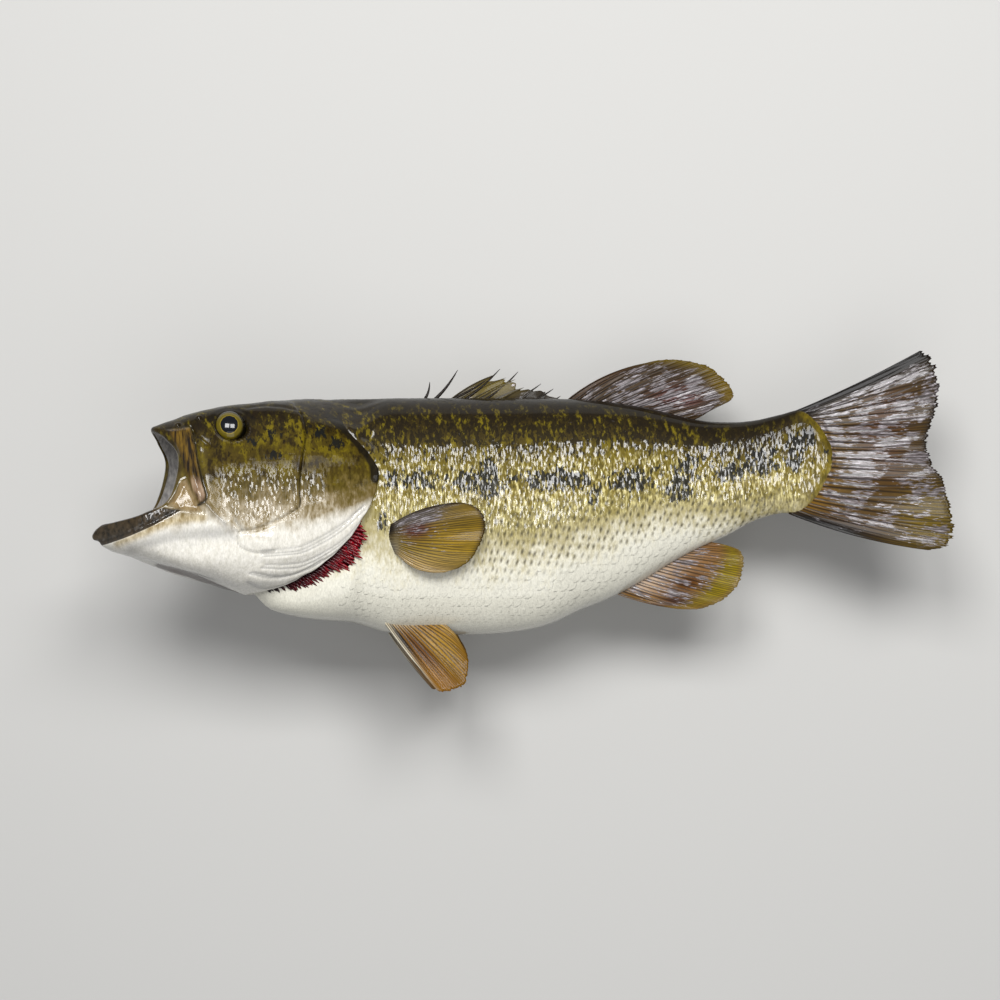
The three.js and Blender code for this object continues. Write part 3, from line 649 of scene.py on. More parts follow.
    # where the coat breaks into facets, and how wet it shines: the head is satin but for two patches
    starts = 0.18 - 0.13 * smooth(125, 170, x)
    glint = smooth(starts, starts + 0.13, height) * smooth(0.72, 0.5, height) * flank * smooth(-76, -64, x)
    cheek = smooth(18, 4, z) * smooth(-20, -11, z) * smooth(-158, -149, x) * smooth(-107, -115, x)
    cover = smooth(12, 6, z) * smooth(-9, -3, z) * smooth(-112, -108, x) * smooth(-95, -100, x)
    sparkling = np.maximum(cheek, cover) * outer * (1 - pale)
    jaw_glint = 0.9 * under_lip + 0.2 * smooth(-6, -12, z) * smooth(-30, -18, z) * outer
    fields["glint"] = np.maximum(np.maximum(glint, 1.4 * sparkling), jaw_glint)
    satin = outer * (1 - pale) * (1 - lip) * smooth(-162, -156, x) * smooth(0.12, 0.18, height)
    fields["gloss"] = (1 - 0.93 * satin * (1 - sparkling)) * (1 - 0.55 * smooth(0.24, 0.1, height))
    return fields


# ---------------------------------------------------------------- meshes
def whole(grid):
    """A left half grid with its mirror image added, as one ring of columns."""
    flipped = grid[:, -2:0:-1]
    if grid.ndim == 3:
        flipped = flipped * [1, -1, 1]
    return np.concatenate([grid, flipped], axis=1)


def new_piece(name, points, faces, material, flat=(), uv=None, values=None):
    """A piece of the mount from points in fish coordinates, riding on the body.

    Faces and flat are lists of index arrays; the faces in flat keep hard edges. The values are stored
    on the points, as is each point's place on the straight fish.
    """
    mesh = bpy.data.meshes.new(name)
    groups = [np.asarray(group) for group in (*faces, *flat)]
    sides = np.concatenate([np.full(len(group), group.shape[1]) for group in groups])
    corners = np.concatenate([group.ravel() for group in groups])
    mesh.vertices.add(len(points))
    mesh.vertices.foreach_set("co", mounted(points).ravel())
    mesh.loops.add(len(corners))
    mesh.loops.foreach_set("vertex_index", corners)
    mesh.polygons.add(len(sides))
    mesh.polygons.foreach_set("loop_start", np.concatenate([[0], np.cumsum(sides)[:-1]]))
    rounded = sum(len(group) for group in faces)
    mesh.polygons.foreach_set("use_smooth", np.arange(len(sides)) < rounded)
    mesh.update(calc_edges=True)
    if uv is not None:
        layer = mesh.uv_layers.new(name="OFBake")
        layer.data.foreach_set("uv", uv[corners].ravel())
    for key, value in {"fish": points * MM, **(values or {})}.items():
        kind, field = ("FLOAT_VECTOR", "vector") if np.ndim(value) == 2 else ("FLOAT", "value")
        attribute = mesh.attributes.new(key, kind, "POINT")
        attribute.data.foreach_set(field, np.asarray(value, float).ravel())
    piece = bpy.data.objects.new(name, mesh)
    bpy.context.collection.objects.link(piece)
    mesh.materials.append(material)
    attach(piece, "root")
    return piece


def grid_faces(rows, cols, ring=False):
    """Quads of a grid of points, with the columns closed into a ring if asked."""
    across = cols if ring else cols - 1
    i, k = np.meshgrid(np.arange(rows - 1), np.arange(across), indexing="ij")
    a = i * cols + k
    b = i * cols + (k + 1) % cols
    return np.stack([a, b, b + cols, a + cols], -1).reshape(-1, 4)


def caps(rows, cols):
    """The two end faces of a tube of rings."""
    return np.array([np.arange(cols)[::-1], (rows - 1) * cols + np.arange(cols)])


def face_out(piece):
    """Turns a closed piece's faces outward."""
    bpy.ops.object.select_all(action="DESELECT")
    bpy.context.view_layer.objects.active = piece
    piece.select_set(True)
    bpy.ops.object.mode_set(mode="EDIT")
    bpy.ops.mesh.select_all(action="SELECT")
    bpy.ops.mesh.normals_make_consistent(inside=False)
    bpy.ops.object.mode_set(mode="OBJECT")
    piece.select_set(False)


# ---------------------------------------------------------------- materials
# Inputs of a node are given by name or number. A Map Range takes its value at 0, the range from 1 to 2 and
# the range it becomes from 3 to 4. A Mix takes its factor at 0 and its colours at 6 and 7. A Mapping takes
# its vector at 0 and its scale at 3.
MIX = {"output": 2, "data_type": "RGBA"}
TINT = {**MIX, "blend_type": "MULTIPLY"}


def per(size):
    """Scale of a noise whose features are about a size in millimetres across."""
    return 1 / (size * MM)


def node(tree, kind, inputs=None, stops=(), output=0, **settings):
    """Adds a shader node: settings, inputs (numbers, hex colours or sockets to link) and a ramp's colours."""
    made = tree.nodes.new("ShaderNode" + kind)
    made.location = (-60 * len(tree.nodes), 90 * (len(tree.nodes) % 7))
    for key, value in settings.items():
        setattr(made, key, value)
    for key, value in (inputs or {}).items():
        if isinstance(value, bpy.types.NodeSocket):
            tree.links.new(value, made.inputs[key])
        else:
            made.inputs[key].default_value = linear(value) if isinstance(value, str) else value
    if stops:
        marks = made.color_ramp.elements
        while len(marks) < len(stops):
            marks.new(0.5)
        for mark, (place, colour) in zip(marks, stops):
            mark.position = place
            mark.color = linear(colour) if isinstance(colour, str) else colour
    return made.outputs[output]


def finish(name, constants):
    """An empty material with the constant values of its surface set; gives its surface node too."""
    material = bpy.data.materials.new(name)
    material.use_nodes = True
    surface = material.node_tree.nodes["Principled BSDF"]
    for key, value in constants.items():
        surface.inputs[key].default_value = value
    return material, material.node_tree, surface


# Colour of the flank from the back (0) to the belly (1), and of the head from crown to throat.
FLANK_STOPS = [(0.0, "#181309"), (0.07, "#1c1405"), (0.12, "#2c2206"), (0.17, "#3a2f08"), (0.22, "#4d400b"),
               (0.28, "#635511"), (0.34, "#71621a"), (0.4, "#756622"), (0.46, "#82722f"), (0.52, "#8d8043"),
               (0.58, "#9a8e5c"), (0.64, "#aca176"), (0.7, "#c1b99a"), (0.76, "#dbd6c1"), (0.84, "#dfdccd"),
               (1.0, "#d6d3c4")]
HEAD_STOPS = [(0.0, "#1c170b"), (0.07, "#1b1305"), (0.11, "#2b2105"), (0.15, "#372c08"), (0.2, "#453909"),
              (0.27, "#403409"), (0.33, "#44370c"), (0.38, "#524516"), (0.43, "#615227"), (0.48, "#7a6b4a"),
              (0.53, "#a0937a"), (0.6, "#cdc6b6"), (1.0, "#d9d6c9")]

# Painted layers over the ground colour: value on the mesh, the grain that frays its edge and how much,
# where the edge lies, how strong it is, and the two colours it wanders between.
PAINT = [
    ("rust", "broad", 1.2, 0.3, 1.0, 0.85, "#4f420a", "#7d6b14"),
    ("back", "fine", 4.0, 0.8, 1.04, 0.9, "#0d0803", "#1b1304"),
    ("blotch", "fine", 2.6, 0.5, 0.62, 0.95, "#060709", "#161715"),
    ("pale", "broad", 1.1, 0.25, 0.85, 1.0, "#d6d2c6", "#e6e2d8"),
    ("warm", "long", 0.3, 0.3, 0.7, 1.0, "#1c1206", "#6e5419"),
    ("tan", "long", 0.5, 0.4, 0.9, 0.95, "#86694e", "#b39a80"),
    ("web", "broad", 0.2, 0.2, 0.8, 1.0, "#7d6844", "#94805c"),
    ("lip", "fine", 0.5, 0.35, 0.65, 0.95, "#0c0703", "#35260d"),
    ("mouth", "broad", 0.1, 0.4, 0.6, 1.0, "#8b8886", "#b4b0ab"),
    # gold band under the lip, partly a painted highlight
    ("gold_sheen", "broad", 0.6, 0.2, 1.0, 0.75, "#8c7644", "#bfae86"),
    # painted shade in the creases of the pale throat
    ("blue", "broad", 0.5, 0.2, 1.2, 0.5, "#85878a", "#96979a"),
    # painted shade: a dark strip where the throat's skin falls into shadow between the gill covers
    ("membrane", "fine", 0.2, 0.3, 0.7, 1.0, "#2b1c14", "#4a3428"),
    # painted shade in the head's grooves and the fold under the gill cover, and the flap's dark edge
    ("crease_shade", "fine", 0.3, 0.25, 0.95, 0.92, "#0c0905", "#1a140a"),
]


def markings(tree):
    """The bass's painted colours, with their painted shade and highlights, the same on skin and scales, and
    the fine grain of the paint.
    """
    shape = bpy.context.scene.bass_shape
    named = ["height", "head", "dash", "fleck_u", "fleck_v", "spotted"] + [layer[0] for layer in PAINT]
    value = {name: node(tree, "Attribute", attribute_name=name, output=2) for name in named}
    where = node(tree, "Attribute", attribute_name="fish", output=1)
    tall = node(tree, "Mapping", {0: where, 3: (1.5, 1.0, 0.62)})
    narrow = node(tree, "Mapping", {0: where, 3: (2.4, 1.0, 0.75)})
    drawn = node(tree, "Mapping", {0: where, 3: (2.4, 1.0, 0.2)})
    streaks = node(tree, "TexNoise", {"Vector": tall, "Scale": per(3.0303), "Detail": 4, "Roughness": 0.6})
    broad = node(tree, "TexNoise", {"Vector": where, "Scale": per(13.333), "Detail": 3, "Roughness": 0.5})
    fibres = node(tree, "TexNoise", {"Vector": drawn, "Scale": per(3.3333), "Detail": 2, "Roughness": 0.5})
    grain = node(tree, "TexNoise", {"Vector": tall, "Scale": per(1.1111), "Detail": 3, "Roughness": 0.6})
    # ground colour from back to belly, on a line that wanders
    wander = node(tree, "Math", {0: streaks, 1: 0.3, 2: -0.15}, operation="MULTIPLY_ADD")
    wander = node(tree, "Math", {0: broad, 1: 0.2, 2: wander}, operation="MULTIPLY_ADD")
    height = node(tree, "Math", {0: value["height"], 1: wander}, operation="ADD")
    height = node(tree, "Math", {0: height, 1: 0.1}, operation="SUBTRACT")
    flank = node(tree, "ValToRGB", {0: height}, FLANK_STOPS)
    head = node(tree, "ValToRGB", {0: height}, HEAD_STOPS)
    colour = node(tree, "Mix", {0: value["head"], 6: flank, 7: head}, **MIX)
    # yellow-green mottles that break up the dark back and head
    mottles = node(tree, "TexNoise", {"Vector": tall, "Scale": per(6.6667), "Detail": 4, "Roughness": 0.6})
    mottles = node(tree, "MapRange", {0: mottles, 1: 0.5, 2: 0.62, 4: 0.9})
    mottles = node(tree, "Math", {0: mottles, 1: value["back"]}, operation="MULTIPLY")
    below = node(tree, "MapRange", {0: value["height"], 1: 0.02, 2: 0.13})
    mottles = node(tree, "Math", {0: mottles, 1: below}, operation="MULTIPLY")
    colour = node(tree, "Mix", {0: mottles, 6: colour, 7: shape.mottle_colour}, **MIX)
    # dark clouds and yellow mottles over the cheek and gill cover
    ragged = node(tree, "Math", {0: streaks, 1: 0.6, 2: 0.2}, operation="MULTIPLY_ADD")
    clouds = node(tree, "TexNoise", {"Vector": where, "Scale": per(8.3333), "Detail": 3, "Roughness": 0.55})
    clouds = node(tree, "Math", {0: clouds, 1: ragged}, operation="ADD")
    on_cheek = node(tree, "MapRange", {0: height, 1: 0.44, 2: 0.3})
    on_cheek = node(tree, "Math", {0: on_cheek, 1: value["head"]}, operation="MULTIPLY")
    # cream and olive dashes along the middle of the flank; the cream ones are partly pale marks and partly
    # painted glints off the scales' edges
    dashes = node(tree, "TexNoise", {"Vector": narrow, "Scale": per(2.6316), "Detail": 2, "Roughness": 0.5})
    patches = ((clouds, on_cheek, 0.96, 0.84, 0.85, "#1f1505"),
               (clouds, on_cheek, 1.04, 1.14, 0.75, "#6a5c0a"),
               (dashes, value["dash"], 0.53, 0.64, 0.75, shape.dash_glint_colour),
               (dashes, value["dash"], 0.45, 0.35, 0.8, "#4f4518"))
    for pattern, place, low, high, most, patch_colour in patches:
        edge = node(tree, "MapRange", {0: pattern, 1: low, 2: high, 4: most})
        edge = node(tree, "Math", {0: edge, 1: place}, operation="MULTIPLY")
        colour = node(tree, "Mix", {0: edge, 6: colour, 7: patch_colour}, **MIX)
    # rows of slanted dark flecks along the lower flank, one to a scale
    cell = node(tree, "CombineXYZ", {0: value["fleck_u"], 1: value["fleck_v"]})
    middle = node(tree, "TexVoronoi", {"Vector": cell, "Scale": 1, "Randomness": 0.35}, output=2,
                  voronoi_dimensions="2D")
    cell = node(tree, "VectorMath", {0: cell, 1: middle}, operation="SUBTRACT")
    across = node(tree, "VectorMath", {0: cell, 1: (5.4, -0.8, 0)}, output=1, operation="DOT_PRODUCT")
    along = node(tree, "VectorMath", {0: cell, 1: (0, 3.3, 0)}, output=1, operation="DOT_PRODUCT")
    fleck = node(tree, "CombineXYZ", {0: across, 1: along})
    fleck = node(tree, "VectorMath", {0: fleck}, output=1, operation="LENGTH")
    fleck = node(tree, "Math", {0: streaks, 1: 1.6, 2: fleck}, operation="MULTIPLY_ADD")
    fleck = node(tree, "MapRange", {0: fleck, 1: 2.3, 2: 1.0, 4: 0.85})
    fleck = node(tree, "Math", {0: fleck, 1: value["spotted"]}, operation="MULTIPLY")
    colour = node(tree, "Mix", {0: fleck, 6: colour, 7: shape.fleck_colour}, **MIX)
    # the painted layers, each with a frayed edge
    noises = {"fine": streaks, "broad": broad, "long": fibres}
    for name, frayed, fray, low, high, most, dark, light in PAINT:
        wander = node(tree, "Math", {0: noises[frayed], 1: fray, 2: -0.5 * fray}, operation="MULTIPLY_ADD")
        rough = node(tree, "Math", {0: value[name], 1: wander}, operation="ADD")
        edge = node(tree, "MapRange", {0: rough, 1: low, 2: high, 4: most})
        gate = node(tree, "MapRange", {0: value[name], 1: 0.02, 2: 0.3})
        edge = node(tree, "Math", {0: edge, 1: gate}, operation="MULTIPLY")
        varied = noises["long" if frayed == "long" else "fine"]
        paint = node(tree, "ValToRGB", {0: varied}, [(0.38, dark), (0.62, light)])
        colour = node(tree, "Mix", {0: edge, 6: colour, 7: paint}, **MIX)
    tint = node(tree, "MapRange", {0: grain, 1: 0.3, 2: 0.7, 3: 0.86, 4: 1.12})
    tint = node(tree, "CombineColor", {0: tint, 1: tint, 2: tint})
    return node(tree, "Mix", {0: 1.0, 6: colour, 7: tint}, **TINT), grain


def lacquer(tree, surface, grain, facing=None):
    """The clear coat: a faint pebble, small upright facets that split the light into dashes, and its gloss.

    The facets lean as far as the skin's glint says, and the coat is as strong as its gloss says.
    """
    where = node(tree, "Attribute", attribute_name="fish", output=1)
    upright = node(tree, "Mapping", {0: where, 3: (2.2, 0.9, 0.62)})
    facets = node(tree, "TexVoronoi", {"Vector": upright, "Scale": per(1.7857)}, output=1)
    lean = node(tree, "VectorMath", {0: facets, 1: (0.5, 0.5, 0.5)}, operation="SUBTRACT")
    lean = node(tree, "VectorMath", {0: lean, 1: (0.08, 0.0, 0.6)}, operation="MULTIPLY")
    much = node(tree, "Attribute", attribute_name="glint", output=2)
    lean = node(tree, "VectorMath", {0: lean, "Scale": much}, operation="SCALE")
    base = {"Normal": facing} if facing else {}
    pebbled = node(tree, "Bump", {"Strength": 0.25, "Distance": 0.12 * MM, "Height": grain, **base})
    leaning = node(tree, "VectorMath", {0: pebbled, 1: lean}, operation="ADD")
    leaning = node(tree, "VectorMath", {0: leaning}, operation="NORMALIZE")
    gloss = node(tree, "Attribute", attribute_name="gloss", output=2)
    tree.links.new(leaning, surface.inputs["Coat Normal"])
    tree.links.new(gloss, surface.inputs["Coat Weight"])


@lru_cache(maxsize=1)
def skin_material():
    """Painted fish skin under clear lacquer: wet, bright gloss over a faintly pebbled surface."""
    material, tree, surface = finish("lacquered_fish_skin", {
        "Roughness": 0.5, "Specular IOR Level": 0.05, "Coat Roughness": 0.07})
    colour, grain = markings(tree)
    tree.links.new(colour, surface.inputs["Base Color"])
    lacquer(tree, surface, grain)
    return material


@lru_cache(maxsize=1)
def scale_material():
    """Painted scales under clear lacquer: upright glints, and each scale's rear edge a little darker."""
    material, tree, surface = finish("lacquered_scales", {
        "Roughness": 0.5, "Specular IOR Level": 0.05, "Coat Roughness": 0.055})
    colour, grain = markings(tree)
    edge = node(tree, "Attribute", attribute_name="edge", output=2)
    tone = node(tree, "Attribute", attribute_name="tone", output=2)
    shade = node(tree, "MapRange", {0: edge, 3: 1.0, 4: 0.86})
    shade = node(tree, "Math", {0: shade, 1: tone}, operation="MULTIPLY")
    shade = node(tree, "CombineColor", {0: shade, 1: shade, 2: shade})
    colour = node(tree, "Mix", {0: 1.0, 6: colour, 7: shade}, **TINT)
    facing = node(tree, "Attribute", attribute_name="facing", output=1)
    facing = node(tree, "VectorTransform", {0: facing}, vector_type="NORMAL", convert_from="OBJECT",
                  convert_to="WORLD")
    tree.links.new(colour, surface.inputs["Base Color"])
    tree.links.new(facing, surface.inputs["Normal"])
    lacquer(tree, surface, grain, facing)
    return material


@lru_cache(maxsize=1)
def fin_material():
    """Dried fin under lacquer: painted web, dark lines of painted shade beside the rays, and milky patches of
    painted glare along the rays, with a glossier coat there."""
    material, tree, surface = finish("lacquered_dried_fin", {
        "Roughness": 0.45, "Specular IOR Level": 0.1, "Coat Roughness": 0.09})
    where = node(tree, "Attribute", attribute_name="fan", output=1)
    streaks = node(tree, "Mapping", {0: where, 3: (2.6, 0.4, 1.0)})
    drawn = node(tree, "Mapping", {0: where, 3: (1.6, 0.7, 1.0)})
    broad = node(tree, "TexNoise", {"Vector": drawn, "Scale": per(12.5), "Detail": 4, "Roughness": 0.65})
    fine = node(tree, "TexNoise", {"Vector": streaks, "Scale": per(2.2222), "Detail": 4, "Roughness": 0.65})
    # painted glare: milky highlight patches along the rays, which also get a stronger coat
    painted_glare = node(tree, "Attribute", attribute_name="painted_glare", output=2)
    glare_patch = node(tree, "Math", {0: painted_glare, 1: 0.32, 2: broad}, operation="MULTIPLY_ADD")
    glare_patch = node(tree, "Math", {0: fine, 1: 0.5, 2: glare_patch}, operation="MULTIPLY_ADD")
    glare_patch = node(tree, "MapRange", {0: glare_patch, 1: 0.93, 2: 0.99, 4: 0.9})
    gate = node(tree, "MapRange", {0: painted_glare, 1: 0.02, 2: 0.15})
    glare_patch = node(tree, "Math", {0: glare_patch, 1: gate}, operation="MULTIPLY")
    glare = node(tree, "ValToRGB", {0: fine}, [(0.35, "#4c4340"), (0.58, "#877f82"), (0.72, "#cdc9d2")])
    colour = node(tree, "Attribute", attribute_name="paint")
    colour = node(tree, "Mix", {0: glare_patch, 6: colour, 7: glare}, **MIX)
    # dark lines beside the rays: painted shade on the shadow side of each ray
    line = node(tree, "Attribute", attribute_name="line", output=2)
    colour = node(tree, "Mix", {0: line, 6: colour, 7: "#120c07"}, **MIX)
    tint = node(tree, "MapRange", {0: fine, 1: 0.3, 2: 0.7, 3: 0.78, 4: 1.2})
    tint = node(tree, "CombineColor", {0: tint, 1: tint, 2: tint})
    colour = node(tree, "Mix", {0: 1.0, 6: colour, 7: tint}, **TINT)
    relief = node(tree, "Bump", {"Strength": 0.4, "Distance": 0.2 * MM, "Height": broad})
    glare_coat = node(tree, "MapRange", {0: glare_patch, 2: 0.9, 3: 0.12, 4: 0.5})
    tree.links.new(glare_coat, surface.inputs["Coat Weight"])
    tree.links.new(colour, surface.inputs["Base Color"])
    tree.links.new(relief, surface.inputs["Coat Normal"])
    return material


@lru_cache(maxsize=1)
def gill_material():
    """Wax-cast gills painted blood red under gloss, darkened at the roots as painted shade under the gill
    cover.
    """
    material, tree, surface = finish("painted_gill_wax", {
        "Roughness": 0.4, "Specular IOR Level": 0.1, "Coat Weight": 0.45, "Coat Roughness": 0.1})
    shape = bpy.context.scene.bass_shape
    out = node(tree, "Attribute", attribute_name="out", output=2)
    red = node(tree, "ValToRGB", {0: out}, [(0.2, "#160205"), (0.55, "#4c040e"), (1.0, shape.gill_colour)])
    tree.links.new(red, surface.inputs["Base Color"])
    return material


@lru_cache(maxsize=1)
def eye_material():
    """Cast glass eye, painted behind: blue-black pupil, thin bright ring, bronze iris and dark rim."""
    material, tree, surface = finish("painted_glass_eye", {
        "Roughness": 0.3, "Specular IOR Level": 0.04, "Coat Weight": 1.0, "Coat Roughness": 0.02})
    shape = bpy.context.scene.bass_shape
    iris = node(tree, "Attribute", attribute_name="iris", output=1)
    streaks = node(tree, "TexNoise", {"Vector": iris, "Scale": 5, "Detail": 5, "Roughness": 0.7})
    radius = node(tree, "VectorMath", {0: iris}, output=1, operation="LENGTH")
    radius = node(tree, "Math", {0: streaks, 1: 0.14, 2: radius}, operation="MULTIPLY_ADD")
    rings = [(0.0, "#04060b"), (0.6, "#060910"), (0.63, "#8f7c24"), (0.67, shape.iris_colour),
             (0.83, shape.iris_colour), (0.92, "#2e2606"), (0.98, "#0b0906"), (1.0, "#070604")]
    colour = node(tree, "ValToRGB", {0: radius}, rings)
    tree.links.new(colour, surface.inputs["Base Color"])
    return material


def wood_material():
    """Sawn pine, unfinished: pale and matt, with growth rings running along the block."""
    material, tree, surface = finish("sawn_pine", {"Roughness": 0.75, "Specular IOR Level": 0.3})
    where = node(tree, "TexCoord", output=3)
    where = node(tree, "Mapping", {0: where, 3: (0.12, 1.0, 1.0)})
    rings = node(tree, "TexNoise", {"Vector": where, "Scale": per(5), "Detail": 4, "Roughness": 0.6})
    fibre = node(tree, "TexNoise", {"Vector": where, "Scale": per(0.83333), "Detail": 2})
    colour = node(tree, "ValToRGB", {0: rings}, [(0.35, "#b08a58"), (0.5, "#c9a874"), (0.62, "#a77f4c")])
    relief = node(tree, "Bump", {"Strength": 0.3, "Distance": 0.5 * MM, "Height": fibre})
    tree.links.new(colour, surface.inputs["Base Color"])
    tree.links.new(relief, surface.inputs["Normal"])
    return material


def steel_material():
    """Zinc-plated steel: bright grey, rolled, faintly spangled."""
    material, tree, surface = finish("zinc_plated_steel", {"Roughness": 0.34, "Metallic": 1.0})
    where = node(tree, "TexCoord", output=3)
    spangle = node(tree, "TexNoise", {"Vector": where, "Scale": per(2.5), "Detail": 2})
    colour = node(tree, "ValToRGB", {0: spangle}, [(0.4, "#a3a5a6"), (0.6, "#c0c1c0")])
    tree.links.new(colour, surface.inputs["Base Color"])
    return material


def paint_material():
    """Matt pale paint that can be seen through from behind, so the back of the mount shows."""
    material, tree, surface = finish("matt_pale_paint", {"Base Color": linear("#c4c3c0"), "Roughness": 0.9,
                                                         "Specular IOR Level": 0.2})
    behind = node(tree, "NewGeometry", output=6)
    clear = node(tree, "BsdfTransparent")
    mixed = node(tree, "MixShader", {0: behind, 1: surface.outputs[0], 2: clear})
    tree.links.new(mixed, tree.nodes["Material Output"].inputs[0])
    return material


# ---------------------------------------------------------------- scales
# A scale's grid of points, the half width of its outline for a unit width, and how deep its underside
# is sunk in the skin, mm.
SCALE_ROWS, SCALE_COLS = 6, 5
SCALE_HALF = 0.72
SCALE_SUNK = 0.35


def ring_normals(ring):
    """Outward normals of the whole skin, whose columns close into rings."""
    back = np.gradient(ring, axis=0)
    down = np.roll(ring, -1, 1) - np.roll(ring, 1, 1)
    return unit(np.cross(down, back))


def bilinear(grid, i, k):
    """Values of a ringed grid between its rows and columns."""
    rows, cols = grid.shape[:2]
    i = np.clip(i, 0, rows - 1.001)
    row, col = np.floor(i).astype(int), np.floor(k).astype(int)
    down, across = i - row, k - col
    if grid.ndim == 3:
        down, across = down[..., None], across[..., None]
    low, high = (grid[at, col % cols] * (1 - across) + grid[at, (col + 1) % cols] * across
                 for at in (row, row + 1))
    return low * (1 - down) + high * down


def cell_tree(cells, across, down):
    """A search tree over cells of the skin's grid by two of their measures."""
    tree = KDTree(len(cells))
    for n, (i, k) in enumerate(cells):
        tree.insert((across[i, k], down[i, k], 0), n)
    tree.balance()
    return tree


def scale_centres():
    """Middles of the left flank's scales as skin rows and columns, each with its length, its width and
    its shift from there along and down, mm."""
    shape = bpy.context.scene.bass_shape
    points, zones, places, lines = left_skin()
    x, z, girth = points[..., 0], points[..., 2], girth_down(points)
    step, gap = shape.scale_length / MM, shape.scale_rows / MM
    body = (zones == FLANK)[:, None] | ((zones == FOLD)[:, None] & (lines < 1)[None, :])
    nape = (zones == HEAD)[:, None] & (places > 0.66)[:, None] & (lines < 1.05)[None, :]
    clear = (x > x[np.argmax(zones == FLANK)] + 5) | (lines < 1.1)
    clear &= (x > -84) | (lines < 3)
    cells = np.argwhere((body & clear) | nape)
    tree = cell_tree(cells, x, girth)
    found = []
    for j in range(40):
        for n in range(90):
            at = -97 + (n + 0.5 * (j % 2)) * step
            spread = gap * (1 - 0.3 * float(smooth(40, 205, at)))
            down = (j + 0.5) * spread
            near, index, away = tree.find((at, down, 0))
            i, k = cells[index]
            if away > 1.6 or at > 199 or down - girth[i, -1] > 0.2 * spread:
                continue
            small = 1 - 0.3 * float(smooth(-38, -75, at))
            found.append((i, k, step * small, spread * small, at - near[0], down - near[1]))
    # small scales of the cheek and the gill cover
    cells = np.argwhere(np.broadcast_to((zones == HEAD)[:, None], x.shape))
    tree = cell_tree(cells, x, z)
    for region, grown in ((CHEEK, 1.0), (GILL_COVER, 1.25)):
        length = shape.cheek_scale / MM * grown
        width = length * 1.15
        for j in range(60):
            for n in range(60):
                at, high = -170 + (n + 0.5 * (j % 2)) * length, -24 + j * width
                if inside(np.array([at]), np.array([high]), region)[0] < 1.0:
                    continue
                near, index, _ = tree.find((at, high, 0))
                found.append((*cells[index], length, width, at - near[0], near[1] - high))
    return np.array(found)


def scale_shape():
    """One scale as a grid of (tailward, across, lift, edge) for a unit length and width.

    It rises out of the skin, rolls over and dips to its rear edge, so that it glints in an upright dash.
    """
    s, c = np.meshgrid(np.linspace(0, 1, SCALE_ROWS), np.linspace(-1, 1, SCALE_COLS), indexing="ij")
    rear = 0.7 - 0.62 * c**2 * (0.4 + 0.6 * c**2)
    front = -0.62 + 0.25 * c**2
    along = front + (rear - front) * s
    t = along + 0.28
    lift = -0.2 + 3.4 * t - 2.85 * t**2 - 0.35 * c**2
    return np.stack([along, SCALE_HALF * c, lift, s], -1).reshape(-1, 4)


def grid_steps(move, back, down):
    """Steps along the skin in mm as rows and columns of its grid, from the grid's directions at the start."""
    g11, g12, g22 = ((a * b).sum(1)[:, None] / 4 for a, b in ((back, back), (back, down), (down, down)))
    m1, m2 = ((move * way[:, None]).sum(-1) / 2 for way in (back, down))
    det = g11 * g22 - g12**2
    return (g22 * m1 - g12 * m2) / det, (g11 * m2 - g12 * m1) / det


def scale_slopes(lift, along, width, tailward, across):
    """How steeply each scale rises at each of its points, as a vector along the skin."""
    lift, along = (grid.reshape(-1, SCALE_ROWS, SCALE_COLS) for grid in (lift, along))
    rise = np.gradient(lift, axis=1) / np.gradient(along, axis=1)
    swerve = np.gradient(along, axis=2)
    apart = 2 * SCALE_HALF / (SCALE_COLS - 1) * width[:, None, None]
    sideways = (np.gradient(lift, axis=2) - rise * swerve) / apart
    rise, sideways = (slope.reshape(len(lift), -1, 1) for slope in (rise, sideways))
    return rise * tailward[:, None] + sideways * across[:, None]


def scale_faces(count, rim):
    """Faces of a number of scales: their tops, and their skirts and floors, which keep hard edges."""
    top, around = SCALE_ROWS * SCALE_COLS, len(rim)
    under = top + np.arange(around)
    skirt = np.stack([rim, np.roll(rim, -1), np.roll(under, -1), under], -1)
    shift = (np.arange(count) * (top + around))[:, None, None]
    tops = grid_faces(SCALE_ROWS, SCALE_COLS)[:, ::-1]
    return [(faces + shift).reshape(-1, faces.shape[1]) for faces in (tops, skirt, under[None, ::-1])]


